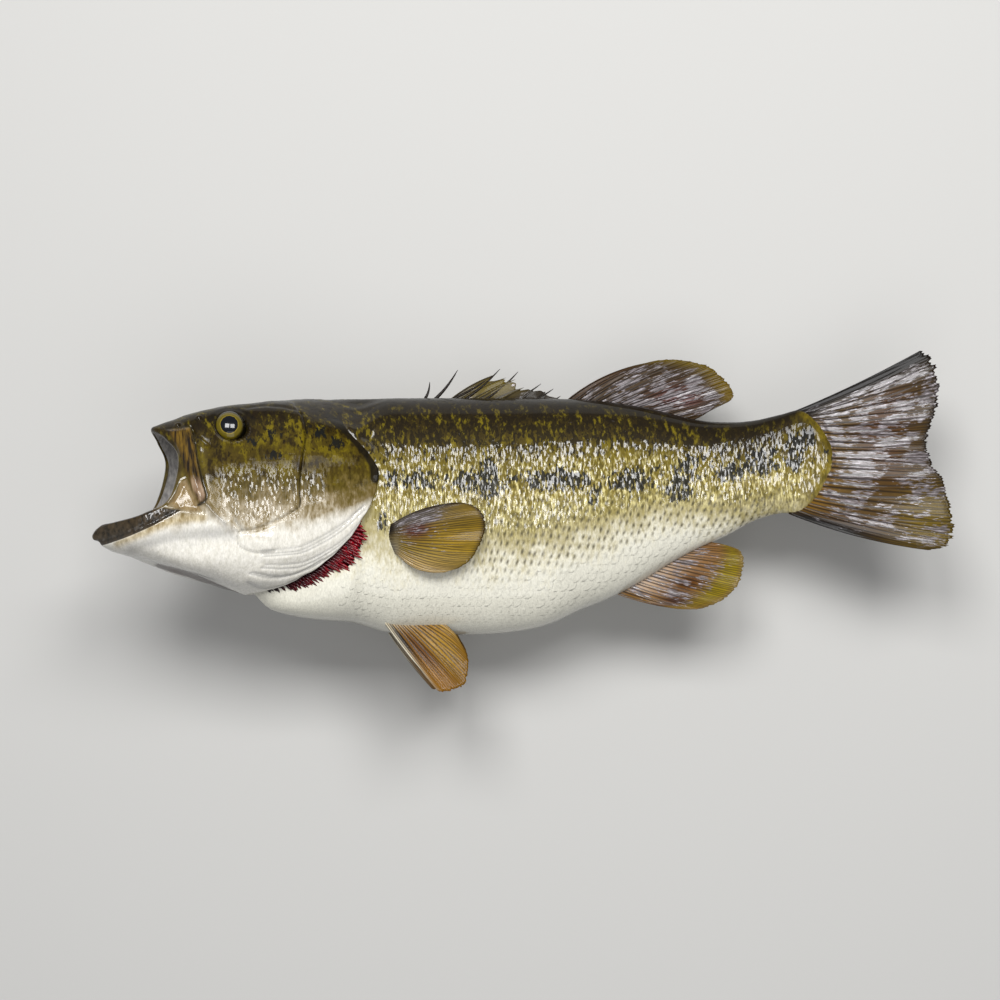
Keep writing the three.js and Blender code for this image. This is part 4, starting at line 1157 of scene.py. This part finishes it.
def scales(name, centres, side):
    """Every scale of one flank as a joined mesh of thin solid plates, laid on the skin with its paint."""
    shape = bpy.context.scene.bass_shape
    ring = whole(left_skin()[0])
    normals = ring_normals(ring)
    rows, cols = ring.shape[:2]
    random = np.random.default_rng(7 if side == "left" else 8)
    i, k, length, width, shift_x, shift_down = centres.T
    if side == "right":
        k = (cols - k) % cols
        shift_down = -shift_down
    one, count = scale_shape(), len(centres)

    # every point as a step tailward and across from its scale's middle, each scale a little askew
    back, down = (bilinear(ring, i + a, k + b) - bilinear(ring, i - a, k - b) for a, b in ((1, 0), (0, 1)))
    normal = bilinear(normals, i, k)
    tailward = unit(np.array([1.0, 0, 0]) - normal * normal[:, :1])
    across = unit(np.cross(tailward, normal))
    askew = random.normal(0, 0.05, count)[:, None]
    tailward, across = tailward + across * askew, across - tailward * askew
    downward = np.sign((across * down).sum(1))
    plan = np.stack([one[:, 0] * length[:, None] + shift_x[:, None],
                     one[:, 1] * width[:, None] + (shift_down * downward)[:, None]], -1)
    move = plan[..., :1] * tailward[:, None] + plan[..., 1:] * across[:, None]
    step_i, step_k = grid_steps(move, back, down)
    at_i, at_k = i[:, None] + step_i, k[:, None] + step_k
    base, out = bilinear(ring, at_i, at_k), bilinear(normals, at_i, at_k)

    # lift: soft on the back, nearly flush on the belly, low on the small scales of the head
    level = bilinear(whole(left_fields()["height"]), i, k)
    on_body = smooth(0.62, 0.68, length / (shape.scale_length / MM))
    soft = smooth(0.66, 0.5, level) * (1 - 0.9 * smooth(0.24, 0.12, level)) * on_body
    soft = soft + 0.26 * (1 - on_body)
    soft = (soft * random.uniform(0.75, 1.25, count))[:, None]
    lift = one[:, 2] * shape.scale_lift / MM * soft
    tilt = soft * 0.22 * random.normal(0, 1, (count, 1))
    lift = lift + tilt * one[:, 0] * length[:, None] * 0.12
    flush = (1 - 0.8 * smooth(0.5, 0.66, level))[:, None]
    upper = base + out * (lift + flush * (0.05 + 0.03 * one[:, 0]))[..., None]
    facing = unit(out - scale_slopes(lift, plan[..., 0], width, tailward, across))

    # the plate: its top, then its rim once more, sunk in the skin
    cells = np.arange(len(one)).reshape(SCALE_ROWS, SCALE_COLS)
    rim = np.concatenate([cells[0], cells[1:-1, -1], cells[-1, ::-1], cells[-2:0:-1, 0]])
    plate = np.concatenate([cells.ravel(), rim])
    points = np.concatenate([upper, (base - out * SCALE_SUNK)[:, rim]], 1)
    tops, skirts, floors = scale_faces(count, rim)

    # each scale's patch on the skin's own unwrap, at the place of its root
    patch = one[plate, :2] * [0.0015 / 1.6, 0.0015 / 1.5]
    root_u = (at_k[:, 2] % cols) / cols
    root_v = at_i[:, 2] / rows
    uv = np.stack([root_u[:, None] + patch[:, 1], root_v[:, None] + patch[:, 0]], -1)

    values = {key: bilinear(whole(field), at_i[:, plate], at_k[:, plate]).ravel()
              for key, field in left_fields().items()}
    own = bilinear(whole(left_fields()["blotch"]), i, k)
    values["blotch"] = np.repeat(own, len(plate)) * 0.15 + values["blotch"] * 0.85
    quiet = np.maximum(smooth(0.5, 0.62, level), smooth(0.2, 0.1, level))
    rim_shade = smooth(0.55, 1.0, one[plate, 3]) * (1 - quiet)[:, None] * (0.25 + 0.75 * on_body)[:, None]
    values["edge"] = rim_shade.ravel()
    values["facing"] = unit(mounted(points + facing[:, plate] * 0.1) - mounted(points)).reshape(-1, 3)
    values["tone"] = np.repeat(1 + random.uniform(-0.09, 0.09, count) * (1 - 0.9 * quiet), len(plate))
    return new_piece(name, points.reshape(-1, 3), [tops], scale_material(), flat=[skirts, floors],
                     uv=uv.reshape(-1, 2), values=values)


# ---------------------------------------------------------------- fins
# Each fin: its foot and tip lines in fish coordinates (flat fins give only x and z), and how its first and
# last rays bow; its rays, the width of one in ray spacings, how often each splits, and how deep the web is
# notched and frayed; its thickness at foot and edge, mm; its ground colour, and patches of paint as colour,
# place across and out along the rays, and spread both ways; and how much painted glare, a milky painted
# highlight, its first, middle and last rays carry. The spines are free: foot, tip, radius.
FIN_DEFAULTS = {
    "spines": (),
    "relief": 0.35,      # share of the thickness that the web falls short of the rays
    "ripple": 1,         # height of the web's slow waves
    "sink": 0,           # how far the foot is sunk in the flank, mm
    "lobe": 0,           # thickness that the fleshy root adds, mm
    "glare_reach": 0.97,    # how far out the painted glare reaches
    "far_shift": 0,      # shift of the far fin from the mirror image of the near one, mm
}
FINS = {
    "dorsal_fin_spiny": {
        "foot": [(-15, 56), (-2, 56), (26, 56), (50, 56)],
        "tip": [(14.5, 74.2), (19.5, 72.6), (25, 73), (28.5, 71), (32, 66.8), (37, 66.4), (41, 66.3),
                (46, 63.6), (51, 60.5)],
        "bow": [(0, 0, 2.2), (0, 0, 0)], "rays": 7, "notch": 0.2, "thick": (1.8, 0.8), "ray": 0.12,
        "split": 0, "fray": 0.03, "ground": "#352a0a", "painted_glare": (0.3, 0.2, 0.36), "relief": 0.3,
        "spines": [((-27, 57), (-22.2, 69.8), 0.90), ((-22, 57), (-6.3, 77.1), 1.02),
                   ((-15, 57), (14.6, 74.6), 0.96), ((-6, 57), (17.6, 77.8), 0.96),
                   ((5.5, 57), (28.1, 76.1), 0.96), ((19, 57), (41.6, 68.9), 0.84),
                   ((30, 57), (48.8, 65.9), 0.84), ((40, 57), (53, 61.6), 0.78)],
        "paint": [("#5c4e06", 0.3, 0.6, 0.25, 0.4), ("#231a08", 0.85, 0.5, 0.28, 1)],
    },
    "dorsal_fin_soft": {
        "foot": [(53, 56), (76, 54), (99, 51), (121, 45)],
        "tip": [(99.4, 80.6), (110.9, 83.2), (122.4, 83.2), (133.9, 81.2), (139.6, 79.4), (145.4, 74.6),
                (149.9, 69.8), (152.8, 65), (153.4, 61.5), (151, 58.4), (143, 56.2)],
        "bow": [(-1, 0, 3.4), (1, 0, -2)], "rays": 14, "notch": 0.015, "thick": (2.4, 0.8), "ray": 0.15,
        "split": 1, "fray": 0.01, "ground": "#3c2a10", "painted_glare": (0.5, 0.7, 0.55),
        "paint": [("#3f2808", 0.0, 0.5, 0.1, 2), ("#6b5709", 0.3, 1.0, 0.4, 0.12),
                  ("#705908", 0.7, 0.95, 0.2, 0.12), ("#4c1c14", 0.6, 0.5, 0.15, 0.2),
                  ("#20140a", 0.5, 0.0, 1, 0.1)],
    },
    "anal_fin": {
        "foot": [(80, -53), (98, -44), (116, -33), (132, -24.5)],
        "tip": [(122.5, -63.8), (133.8, -63.6), (142.6, -60.8), (148.4, -57.8), (154.2, -52.5),
                (157.7, -46.6), (159.4, -39.1), (159.4, -33.8), (157, -29.4), (151, -27)],
        "bow": [(0, 0, -1.6), (0, 0, 0.8)], "rays": 14, "notch": 0.015, "thick": (2.4, 0.8), "ray": 0.15,
        "split": 1, "fray": 0.012, "ground": "#7c5626", "painted_glare": (0.62, 0.5, 0.32), "glare_reach": 0.9,
        "relief": 0.16,
        "paint": [("#c4ab92", 0.2, 0.0, 0.5, 0.3), ("#8a7600", 0.55, 0.84, 0.5, 0.14),
                  ("#3c1a0c", 0.1, 0.62, 0.13, 0.14), ("#5a360c", 0.4, 0.5, 0.12, 0.12),
                  ("#6b4a12", 0.05, 0.35, 0.08, 0.3), ("#8f7a44", 0.5, 1.0, 1, 0.04)],
    },
    "tail_fin": {
        "foot": [(182, 49.5), (194, 45), (200, 26), (195, 3), (185, -8)],
        "tip": [(262, 88.5), (267.5, 80.5), (270.8, 69), (270, 56), (267, 44), (264, 35), (264.4, 29),
                (267.5, 20), (273, 12.5), (276.3, 3), (278, -8), (278.8, -18), (276, -26), (266, -29)],
        "bow": [(0, 0, -1.5), (0, 0, -3)], "rays": 19, "notch": 0.02, "thick": (3.0, 0.8), "ray": 0.15,
        "split": 2, "fray": 0.025, "ground": "#4a3508", "painted_glare": (0.66, 0.66, 0.38), "glare_reach": 1.08,
        "lobe": 4.0, "relief": 0.16,
        "paint": [("#5c4208", 0.55, 0.1, 0.4, 0.2), ("#6f5a06", 0.82, 0.88, 0.16, 0.25),
                  ("#4c320a", 0.9, 0.3, 0.1, 0.3), ("#4a2c08", 0.35, 0.6, 0.3, 0.2),
                  ("#6e4e0a", 0.8, 0.02, 0.2, 0.16), ("#1a1206", 0.08, 0.05, 0.14, 0.2),
                  ("#080604", 0.0, 0.5, 0.09, 2), ("#0b0704", 1.0, 0.25, 0.09, 0.4),
                  ("#150f08", 0.35, 1.0, 0.5, 0.05)],
    },
    "pectoral_fin": {
        "foot": [(-57.5, -36.8, -19.5), (-57.5, -36.6, -26), (-54, -35, -33.5)],
        "tip": [(-10.7, -44, -7.4), (-1, -44.6, -9.4), (5.4, -45, -14), (7.1, -45, -22), (4.2, -44.6, -30),
                (-2.4, -44, -39), (-11, -43, -44.2), (-20.5, -42, -46.5)],
        "bow": [(-2, -1.5, 2.4), (-3, -1.5, -4.5)], "rays": 14, "notch": 0.01, "thick": (1.8, 0.7),
        "ray": 0.16, "split": 1, "fray": 0.008, "ground": "#80680a", "painted_glare": (0.95, 0.3, 0.2),
        "glare_reach": 0.75, "sink": 4.5, "lobe": 3.4, "relief": 0.1, "ripple": 0.7,
        "paint": [("#98780c", 0.45, 0.8, 0.3, 0.3), ("#7c6209", 0.35, 0.75, 0.1, 0.3),
                  ("#5c2c1a", 0.35, 0.28, 0.18, 0.16), ("#5e564e", 0.08, 0.35, 0.2, 0.4),
                  ("#2a1e10", 0.0, 0.8, 0.07, 0.5), ("#ab8f58", 0.98, 0.5, 0.18, 0.6),
                  ("#30220c", 0.3, 1.0, 0.5, 0.04), ("#25211d", 0.2, 0.0, 0.35, 0.12),
                  ("#8b8474", 0.85, 0.0, 0.3, 0.1)],
    },
    "pelvic_fin": {
        "foot": [(-58.5, -11, -67.5), (-47.2, -11, -68.5), (-32.9, -11.5, -69.5)],
        "tip": [(-23.9, -24, -112.5), (-18.5, -24, -112.3), (-11, -23.8, -110.6), (-6, -23.2, -108),
                (-3.6, -21, -99), (-5, -18.5, -90), (-9.6, -16, -82)],
        "bow": [(-1, 0, -1), (2, 0, 3)], "rays": 9, "notch": 0.01, "thick": (2.6, 0.8), "ray": 0.16,
        "split": 1, "fray": 0.012, "ground": "#845a04", "painted_glare": (0.02, 0.03, 0.02), "relief": 0.1,
        "ripple": 0.5, "far_shift": np.array([3.4, 0, 3.6]),
        "paint": [("#96700a", 0.6, 0.6, 0.25, 0.3), ("#5e3803", 0.3, 0.5, 0.14, 0.3),
                  ("#96660e", 0.15, 0.85, 0.2, 0.2), ("#1e1408", 0.1, 0.25, 0.07, 0.3),
                  ("#ded4bc", 0.0, 0.3, 0.05, 0.5), ("#cfc0a0", 0.6, 0.0, 1, 0.14),
                  ("#a3803a", 1.0, 0.6, 0.14, 0.5)],
    },
}
RAY_COLUMNS = 14
FIN_ROWS = 44
THINNEST_WEB = 0.42
SPINE_RINGS, SPINE_SIDES = 9, 8
SPINE_PAINT = "#1a120a"


def spine(foot, tip, radius):
    """A tapered bony spine as rings of points round a line."""
    along = np.linspace(0, 1, SPINE_RINGS)[:, None, None]
    turn = np.arange(SPINE_SIDES)[None, :, None] * 2 * pi / SPINE_SIDES
    foot, tip = (np.array([p[0], 0, p[1]], float) for p in (foot, tip))
    side = unit(np.cross(tip - foot, [0, 1.0, 0]))
    middle = foot + (tip - foot) * along
    bow = side * 1.2 * np.sin(pi * along) * -1
    girth = radius * (1 - along) ** 0.7 + 0.14
    rings = middle + bow + girth * (side * np.cos(turn) + np.array([0, 1.0, 0]) * np.sin(turn))
    return rings.reshape(-1, 3)


def fin_rays(plan, cell, v):
    """Distance from the nearest ray or branch of it, in ray spacings, and the rays' width on the way out."""
    away = np.abs(cell - np.round(cell)) * np.ones_like(v)
    for level, (spread, start) in enumerate(((0.24, 0.3), (0.115, 0.62))):
        if plan["split"] > level:
            away = np.abs(away - spread * smooth(start, 0.95, v))
    return away, plan["ray"] * (1 - 0.45 * smooth(0.2, 0.9, v))


def fin_paint(plan, u, out):
    """Colour of the fin at places across it and out: its ground with soft patches laid over it in turn."""
    paint = np.ones((*out.shape, 1)) * linear(plan["ground"])[:3]
    for colour, u0, v0, du, dv in plan["paint"]:
        weight = np.exp(-(((u - u0) / du) ** 2) - ((out - v0) / dv) ** 2)[..., None]
        paint = paint + (np.array(linear(colour)[:3]) - paint) * np.minimum(1.25 * weight, 1)
    return paint


def fin(name, plan, flip=False, seed=1):
    """A fin of stiff, branching rays with thin web between them and a worn edge."""
    plan = {**FIN_DEFAULTS, **plan}
    random = np.random.default_rng(seed)
    cols = (plan["rays"] - 1) * RAY_COLUMNS + 1
    u, v = np.linspace(0, 1, cols), np.linspace(0, 1, FIN_ROWS)[:, None]
    foot, tip = (along_curve([p if len(p) == 3 else (p[0], 0, p[1]) for p in plan[key]], u)
                 for key in ("foot", "tip"))
    cell = u * (plan["rays"] - 1)
    away, width = fin_rays(plan, cell, v)
    ray = hump(away, width)

    # how far out each ray reaches: the web is notched between rays and its edge worn in tatters
    tatter = np.round(cell * 4).astype(int)
    worn = random.uniform(0, 1, tatter.max() + 1)[tatter] * plan["fray"]
    reach = 1 - plan["notch"] * (1 - ray[-1]) * (0.7 + 0.3 * np.sin(cell * 5.3 + seed)) - worn
    out = v * reach

    # middle of the fin, bowed at its first and last rays and gently rippled
    first, last = (np.array(bow, float) for bow in plan["bow"])
    swell = (4 * out * (1 - out))[..., None] * (first * (1 - u[:, None]) ** 2 + last * u[:, None] ** 2)
    middle = foot + (tip - foot) * out[..., None] + swell
    middle[..., 1] += plan["sink"] * (1 - smooth(0, 0.07, out))
    normal = unit(np.cross(np.gradient(middle, axis=0), np.gradient(middle, axis=1)))
    ripple = plan["ripple"] * 0.5 * np.sin(cell * 2.1 + seed) * out**2
    ripple = ripple + plan["ripple"] * 0.35 * np.sin(cell * 0.9 + 3 * out)
    middle = middle + normal * (ripple * smooth(0.1, 0.5, out))[..., None]

    # thickness: rays stand proud of the web, a paired fin's root is fleshy and the edge is thin
    root, end = plan["thick"]
    thick = root + (end - root) * out**0.7
    half = np.maximum(thick * (1 - plan["relief"] + plan["relief"] * ray), THINNEST_WEB) / 2
    half = half + plan["lobe"] / 2 * hump(out, 0.09) * np.sqrt(np.sin(pi * np.clip(u, 0.02, 0.98)))
    half = half * (1 - 0.5 * smooth(0.97, 1, v))
    front, rear = middle + normal * half[..., None], middle - normal * half[..., None]
    rings = np.concatenate([front, rear[:, ::-1]], 1)
    rows, around = rings.shape[:2]
    k = np.arange(cols - 1)
    ends = np.concatenate([np.stack([k + 1, k, around - 1 - k, around - 2 - k], -1) + row * around
                           for row in (0, rows - 1)])
    ends[:cols - 1] = ends[:cols - 1, ::-1]

    # paint, dark lines of painted shade beside the rays, millimetres across and out for the noises, and
    # painted glare, a milky painted highlight
    tip_length = np.linalg.norm(np.diff(tip, axis=0), axis=1).sum()
    fan = np.stack([np.cumsum(np.full(cols, tip_length / cols)) + 0 * v,
                    out * np.linalg.norm(tip - foot, axis=1), 0 * out], -1) * MM
    far = plan["glare_reach"]
    painted_glare = np.interp(u, (0, 0.5, 1), plan["painted_glare"]) * smooth(0.02, 0.15, out) * smooth(far, far - 0.2, out)
    grids = {"paint": fin_paint(plan, u, out), "fan": fan,
             # dark lines beside the rays: painted shade on each ray's shadow side
             "line": hump(away - 1.4 * width, 0.8 * width) * (1 - 0.2 * out),
             # painted glare, a milky painted highlight
             "painted_glare": painted_glare * smooth(0.0, 0.09, u) * smooth(1.0, 0.95, u)}

    # the free spines, in plain dark paint
    tubes = [spine(*spec) for spec in plan["spines"]]
    starts = [rows * around + n * SPINE_RINGS * SPINE_SIDES for n in range(len(tubes))]
    points = np.concatenate([rings.reshape(-1, 3), *tubes])
    bony = len(points) - rows * around
    plain = {"paint": np.tile(linear(SPINE_PAINT)[:3], (bony, 1)), "fan": np.zeros((bony, 3)),
             "line": np.zeros(bony), "painted_glare": np.zeros(bony)}
    values = {}
    for key, grid in grids.items():
        both = np.concatenate([grid, grid[:, ::-1]], 1).reshape(-1, *grid.shape[2:])
        values[key] = np.concatenate([both, plain[key]])
    faces = [grid_faces(rows, around, ring=True), ends]
    faces += [grid_faces(SPINE_RINGS, SPINE_SIDES, ring=True) + start for start in starts]
    flat = [caps(SPINE_RINGS, SPINE_SIDES) + start for start in starts]
    if flip:
        points = points * [1, -1, 1] + plan["far_shift"]
    piece = new_piece(name, points, faces, fin_material(), flat=flat, values=values)
    face_out(piece)
    return piece


# ---------------------------------------------------------------- gills and eyes
GILL_EDGE = [(-73.9, -35, -12), (-75.4, -33.6, -30.1), (-82.7, -28.5, -41.4),
             (-94.4, -21.5, -48.6), (-109.1, -13.6, -52.6), (-120.9, -7.5, -53.7)]
GILL_ROOT = [(-82.5, -31, -10), (-86.6, -29, -23.9), (-94.5, -24.5, -33.9),
             (-104.3, -18, -40.8), (-116, -11, -45.8), (-125.7, -5, -49.7)]

# Layers of filaments: how many, how far they reach to the edge, and how far they lie over the layer before.
# The last is the dark backing, painted shade between the filaments, whose filaments are straight and close
# up.
GILL_LAYERS = [(38, 1.0, 0.5), (42, 0.8, 1.2), (39, 0.55, 1.8), (24, 0.85, 0.0)]

# A filament from root to tip: place along it, width, thickness and how bright its red is, darker toward the
# root as painted shade under the gill cover.
FILAMENT = [(0, 1, 0.6, 0), (0.4, 1.0, 0.8, 0.4), (0.75, 0.9, 0.7, 0.75), (0.9, 0.55, 0.4, 0.93),
            (1.0, 0.15, 0.1, 1.0)]
EYE_RINGS, EYE_SIDES = 34, 56


def gill_fringe(side):
    """Rows of pointed red filaments hanging like a comb behind the gill cover."""
    random = np.random.default_rng(3)
    points, shares = [], []
    for layer, (count, reach, raise_by) in enumerate(GILL_LAYERS):
        backing = layer == len(GILL_LAYERS) - 1
        for n in range(count):
            t = (n + 0.5 * (layer % 2)) / count
            half = 0.5 / count * (1.9 if backing else random.uniform(0.95, 1.3))
            ends = np.array([t - half, t + half])
            root, edge = along_curve(GILL_ROOT, ends), along_curve(GILL_EDGE, ends)
            long = reach * random.uniform(0.88, 1.24)
            lean = 0 if backing else random.normal(0, 0.9)
            # each filament's red is dimmer toward the throat and in the backing: painted shade under the gill
            # cover
            light = 0.3 if backing else random.uniform(0.75, 1.05) * (1 - 0.8 * t**2.5)
            for v, wide, thick, bright in FILAMENT:
                pair = root + (edge - root) * v * long
                middle = pair.mean(0)
                pair = middle + (pair - middle) * (1 if backing else wide)
                sag = np.array([lean * v, -0.8, -0.6]) * [1, raise_by, raise_by]
                deep = np.array([0, -0.8, -0.6]) * thick * (0.4 if backing else 0.9)
                points += [pair[0] + sag, middle + sag + deep, pair[1] + sag, middle + sag - deep]
                shares += [bright * light] * 4
    tube = np.concatenate([grid_faces(len(FILAMENT), 4, ring=True), caps(len(FILAMENT), 4)])
    starts = np.arange(0, len(points), 4 * len(FILAMENT))[:, None, None]
    points = np.array(points) * [1, -1 if side == "right" else 1, 1]
    piece = new_piece(f"gill_fringe_{side}", points, [(tube + starts).reshape(-1, 4)], gill_material(),
                      values={"out": shares})
    face_out(piece)
    return piece


def eye(side):
    """A domed glass eye with its painted iris, set square to the skin round it."""
    shape = bpy.context.scene.bass_shape
    radius = shape.eye_diameter / MM / 2 + 0.9
    look = unit(EYE_LOOKS)
    right = unit(np.cross(look, [0, 0, 1.0]))
    up = np.cross(right, look)
    polar, turn = np.meshgrid(np.linspace(0.004, 1.75, EYE_RINGS),
                              np.arange(EYE_SIDES) * 2 * pi / EYE_SIDES, indexing="ij")
    local = np.stack([np.sin(polar) * np.cos(turn), np.sin(polar) * np.sin(turn), np.cos(polar)], -1)
    points = EYE * [1, -1, 1] + radius * (local[..., :1] * right + local[..., 1:2] * up)
    points = points + local[..., 2:] * radius * 0.72 * look
    if side == "right":
        points = points * [1, -1, 1]
    iris = local.reshape(-1, 3) * [1.05, 1.0, 0] + [-0.06, 0.1, 0]
    faces = [grid_faces(EYE_RINGS, EYE_SIDES, ring=True), caps(EYE_RINGS, EYE_SIDES)]
    piece = new_piece(f"glass_eye_{side}", points.reshape(-1, 3), faces, eye_material(),
                      values={"iris": iris})
    face_out(piece)
    return piece


# ---------------------------------------------------------------- settings
def angle_setting(name, description, degrees):
    """An angle that a user may change."""
    return bpy.props.FloatProperty(name=name, description=description, default=radians(degrees),
                                   subtype="ANGLE")


def length_setting(name, description, metres):
    """A length that a user may change."""
    return bpy.props.FloatProperty(name=name, description=description, default=metres, unit="LENGTH")


def colour_setting(name, description, hex_colour):
    """A colour that a user may change."""
    return bpy.props.FloatVectorProperty(name=name, description=description, default=linear(hex_colour),
                                         subtype="COLOR", size=4)


class BassShape(bpy.types.PropertyGroup):
    """Pose and sizes of the fish."""

    roll: angle_setting("Roll", "Lean of the back toward the wall", 8)
    head_turn: angle_setting("Head turn", "Turn of the head away from the wall", 20.5)
    head_bend_from: length_setting("Head bend start", "Start of the head's bend", 0.02)
    head_bend_length: length_setting("Head bend", "Length of the head's bend", 0.09)
    tail_turn: angle_setting("Tail turn", "Turn of the tail away from the wall", 12)
    tail_bend_from: length_setting("Tail bend start", "Start of the tail's bend", 0.08)
    tail_bend_length: length_setting("Tail bend", "Length of the tail's bend", 0.12)
    eye_diameter: length_setting("Eye", "Width of the eye that shows", 0.0168)
    scale_length: length_setting("Scale length", "Length of each scale that shows", 0.0045)
    scale_rows: length_setting("Scale rows", "Distance between rows of scales", 0.0056)
    scale_lift: length_setting("Scale lift", "How far each scale bulges out", 0.00018)
    cheek_scale: length_setting("Cheek scales", "Length of the small cheek scales", 0.0022)
    mottle_colour: colour_setting("Mottles", "Yellow-green of back and head", "#72640f")
    # cream dashes, partly painted glints off the scale edges
    dash_glint_colour: colour_setting("Dashes", "Cream dashes along the flank", "#e0d496")
    fleck_colour: colour_setting("Flecks", "Dark fleck on each low scale", "#45402c")
    gill_colour: colour_setting("Gills", "Red of the gill filaments", "#98061a")
    iris_colour: colour_setting("Iris", "Olive gold of the eye", "#5e520a")


class BASS_OT_skin(bpy.types.Operator):
    """One skin over the head, body and tail stalk, with the mouth lining and gill folds"""

    bl_idname = "bass.skin"
    bl_label = "Skin"

    def execute(self, context):
        ring = whole(left_skin()[0])
        values = {name: whole(field).ravel() for name, field in left_fields().items()}
        # the far half of the throat takes the wider strip of painted shade
        both = whole(left_fields()["membrane"])
        both[:, HALF + 1:] = left_fields()["far_membrane"][:, -2:0:-1]
        values["membrane"] = both.ravel()
        rows, cols = ring.shape[:2]
        faces = [grid_faces(rows, cols, ring=True), caps(rows, cols)]
        skin = new_piece("skin", ring.reshape(-1, 3), faces, skin_material(), values=values)
        face_out(skin)
        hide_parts(*FLESH)
        return {"FINISHED"}


class BASS_OT_scales(bpy.types.Operator):
    """Overlapping scales on the body, nape, cheeks and gill covers, one mesh for each flank"""

    bl_idname = "bass.scales"
    bl_label = "Scales"

    def execute(self, context):
        centres = scale_centres()
        for side in ("left", "right"):
            scales(f"scales_{side}", centres, side)
        return {"FINISHED"}


class BASS_OT_fins(bpy.types.Operator):
    """Dorsal, tail, anal, pectoral and pelvic fins with raised branching rays"""

    bl_idname = "bass.fins"
    bl_label = "Fins"

    def execute(self, context):
        singles = ("dorsal_fin_spiny", "dorsal_fin_soft", "tail_fin", "anal_fin")
        for seed, name in enumerate(singles):
            piece = fin(f"{name}_dressed", FINS[name], seed=seed + 11)
            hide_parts(name)
        for name in ("pectoral_fin", "pelvic_fin"):
            for side in ("left", "right"):
                piece = fin(f"{name}_{side}_dressed", FINS[name], flip=side == "right", seed=21)
                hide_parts(f"{name}_{side}")
        return {"FINISHED"}


class BASS_OT_gills(bpy.types.Operator):
    """Red gill filaments showing behind each gill cover"""

    bl_idname = "bass.gills"
    bl_label = "Gills"

    def execute(self, context):
        for side in ("left", "right"):
            piece = gill_fringe(side)
            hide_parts(f"gills_{side}")
        return {"FINISHED"}


class BASS_OT_eyes(bpy.types.Operator):
    """Domed glass eyes with painted irises"""

    bl_idname = "bass.eyes"
    bl_label = "Eyes"

    def execute(self, context):
        for side in ("left", "right"):
            piece = eye(side)
            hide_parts(f"eye_{side}")
        return {"FINISHED"}


class BASS_OT_hanger(bpy.types.Operator):
    """Pine and steel finishes for the hanger on the wall side"""

    bl_idname = "bass.hanger"
    bl_label = "Hanger"

    def execute(self, context):
        finishes = {"hanger_block": wood_material(), "hanger_plate": steel_material()}
        finishes["screw_1"] = finishes["screw_2"] = finishes["hanger_plate"]
        for name, material in finishes.items():
            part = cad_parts[name]
            part.data.materials.clear()
            part.data.materials.append(material)
        return {"FINISHED"}


class BASS_OT_stage(bpy.types.Operator):
    """Pale wall and floor, soft studio lamps and the camera"""

    bl_idname = "bass.stage"
    bl_label = "Stage"

    def execute(self, context):
        bpy.ops.object.select_all(action="DESELECT")
        wall_y = float(CAD_BOX[1][1]) + BACKDROP_GAP
        bpy.ops.mesh.primitive_plane_add(size=BACKDROP_SIZE, location=(0, wall_y, 0),
                                         rotation=(pi / 2, 0, 0))
        wall = context.object
        wall.name = "backdrop"
        bpy.ops.object.transform_apply(location=True, rotation=True, scale=True)
        wall.data.materials.append(paint_material())
        wall.visible_shadow = False
        wall.visible_diffuse = False
        camera_data = bpy.data.cameras.new("camera")
        camera_data.lens = camera_data.sensor_width * CAMERA_DISTANCE / VIEW_WIDTH
        camera = bpy.data.objects.new("camera", camera_data)
        context.collection.objects.link(camera)
        camera.location = (CAMERA_X, FISH_FROM_HANGER[1] * MM - CAMERA_DISTANCE, FISH_FROM_HANGER[2] * MM)
        camera.rotation_euler = (pi / 2, 0, 0)
        context.scene.camera = camera
        for name, place, size, power in LAMPS:
            data = bpy.data.lights.new(name, "AREA")
            data.shape = "SQUARE"
            data.size = size
            data.energy = power
            lamp = bpy.data.objects.new(name, data)
            context.collection.objects.link(lamp)
            lamp.location = place
            lamp.rotation_euler = (-lamp.location).to_track_quat("-Z", "Y").to_euler()
        world = bpy.data.worlds.new("studio")
        context.scene.world = world
        world.use_nodes = True
        light = world.node_tree.nodes["Background"]
        light.inputs["Color"].default_value = linear("#e8eaee")
        light.inputs["Strength"].default_value = 0.3
        context.scene.view_settings.view_transform = "Standard"
        return {"FINISHED"}


class BASS_PT_panel(bpy.types.Panel):
    """The mount's pieces and sizes in the sidebar"""

    bl_idname = "BASS_PT_panel"
    bl_label = "Mounted Bass"
    bl_space_type = "VIEW_3D"
    bl_region_type = "UI"
    bl_category = "Bass"

    def draw(self, context):
        for operator in OPERATORS:
            self.layout.operator(operator.bl_idname)
        for name in BassShape.__annotations__:
            self.layout.prop(context.scene.bass_shape, name)


OPERATORS = (BASS_OT_skin, BASS_OT_scales, BASS_OT_fins, BASS_OT_gills, BASS_OT_eyes, BASS_OT_hanger,
             BASS_OT_stage)
CLASSES = (BassShape, *OPERATORS, BASS_PT_panel)


def register():
    """Registers the classes and hangs the settings on the scene."""
    for cls in CLASSES:
        bpy.utils.register_class(cls)
    bpy.types.Scene.bass_shape = bpy.props.PointerProperty(type=BassShape)


def unregister():
    """Takes the settings and classes away again."""
    del bpy.types.Scene.bass_shape
    for cls in reversed(CLASSES):
        bpy.utils.unregister_class(cls)


def main():
    """Builds the whole mount and its stage."""
    register()
    bpy.ops.object.select_all(action="DESELECT")
    bpy.ops.bass.skin()
    bpy.ops.bass.scales()
    bpy.ops.bass.fins()
    bpy.ops.bass.gills()
    bpy.ops.bass.eyes()
    bpy.ops.bass.hanger()
    bpy.ops.bass.stage()


if __name__ == "__main__":
    main()
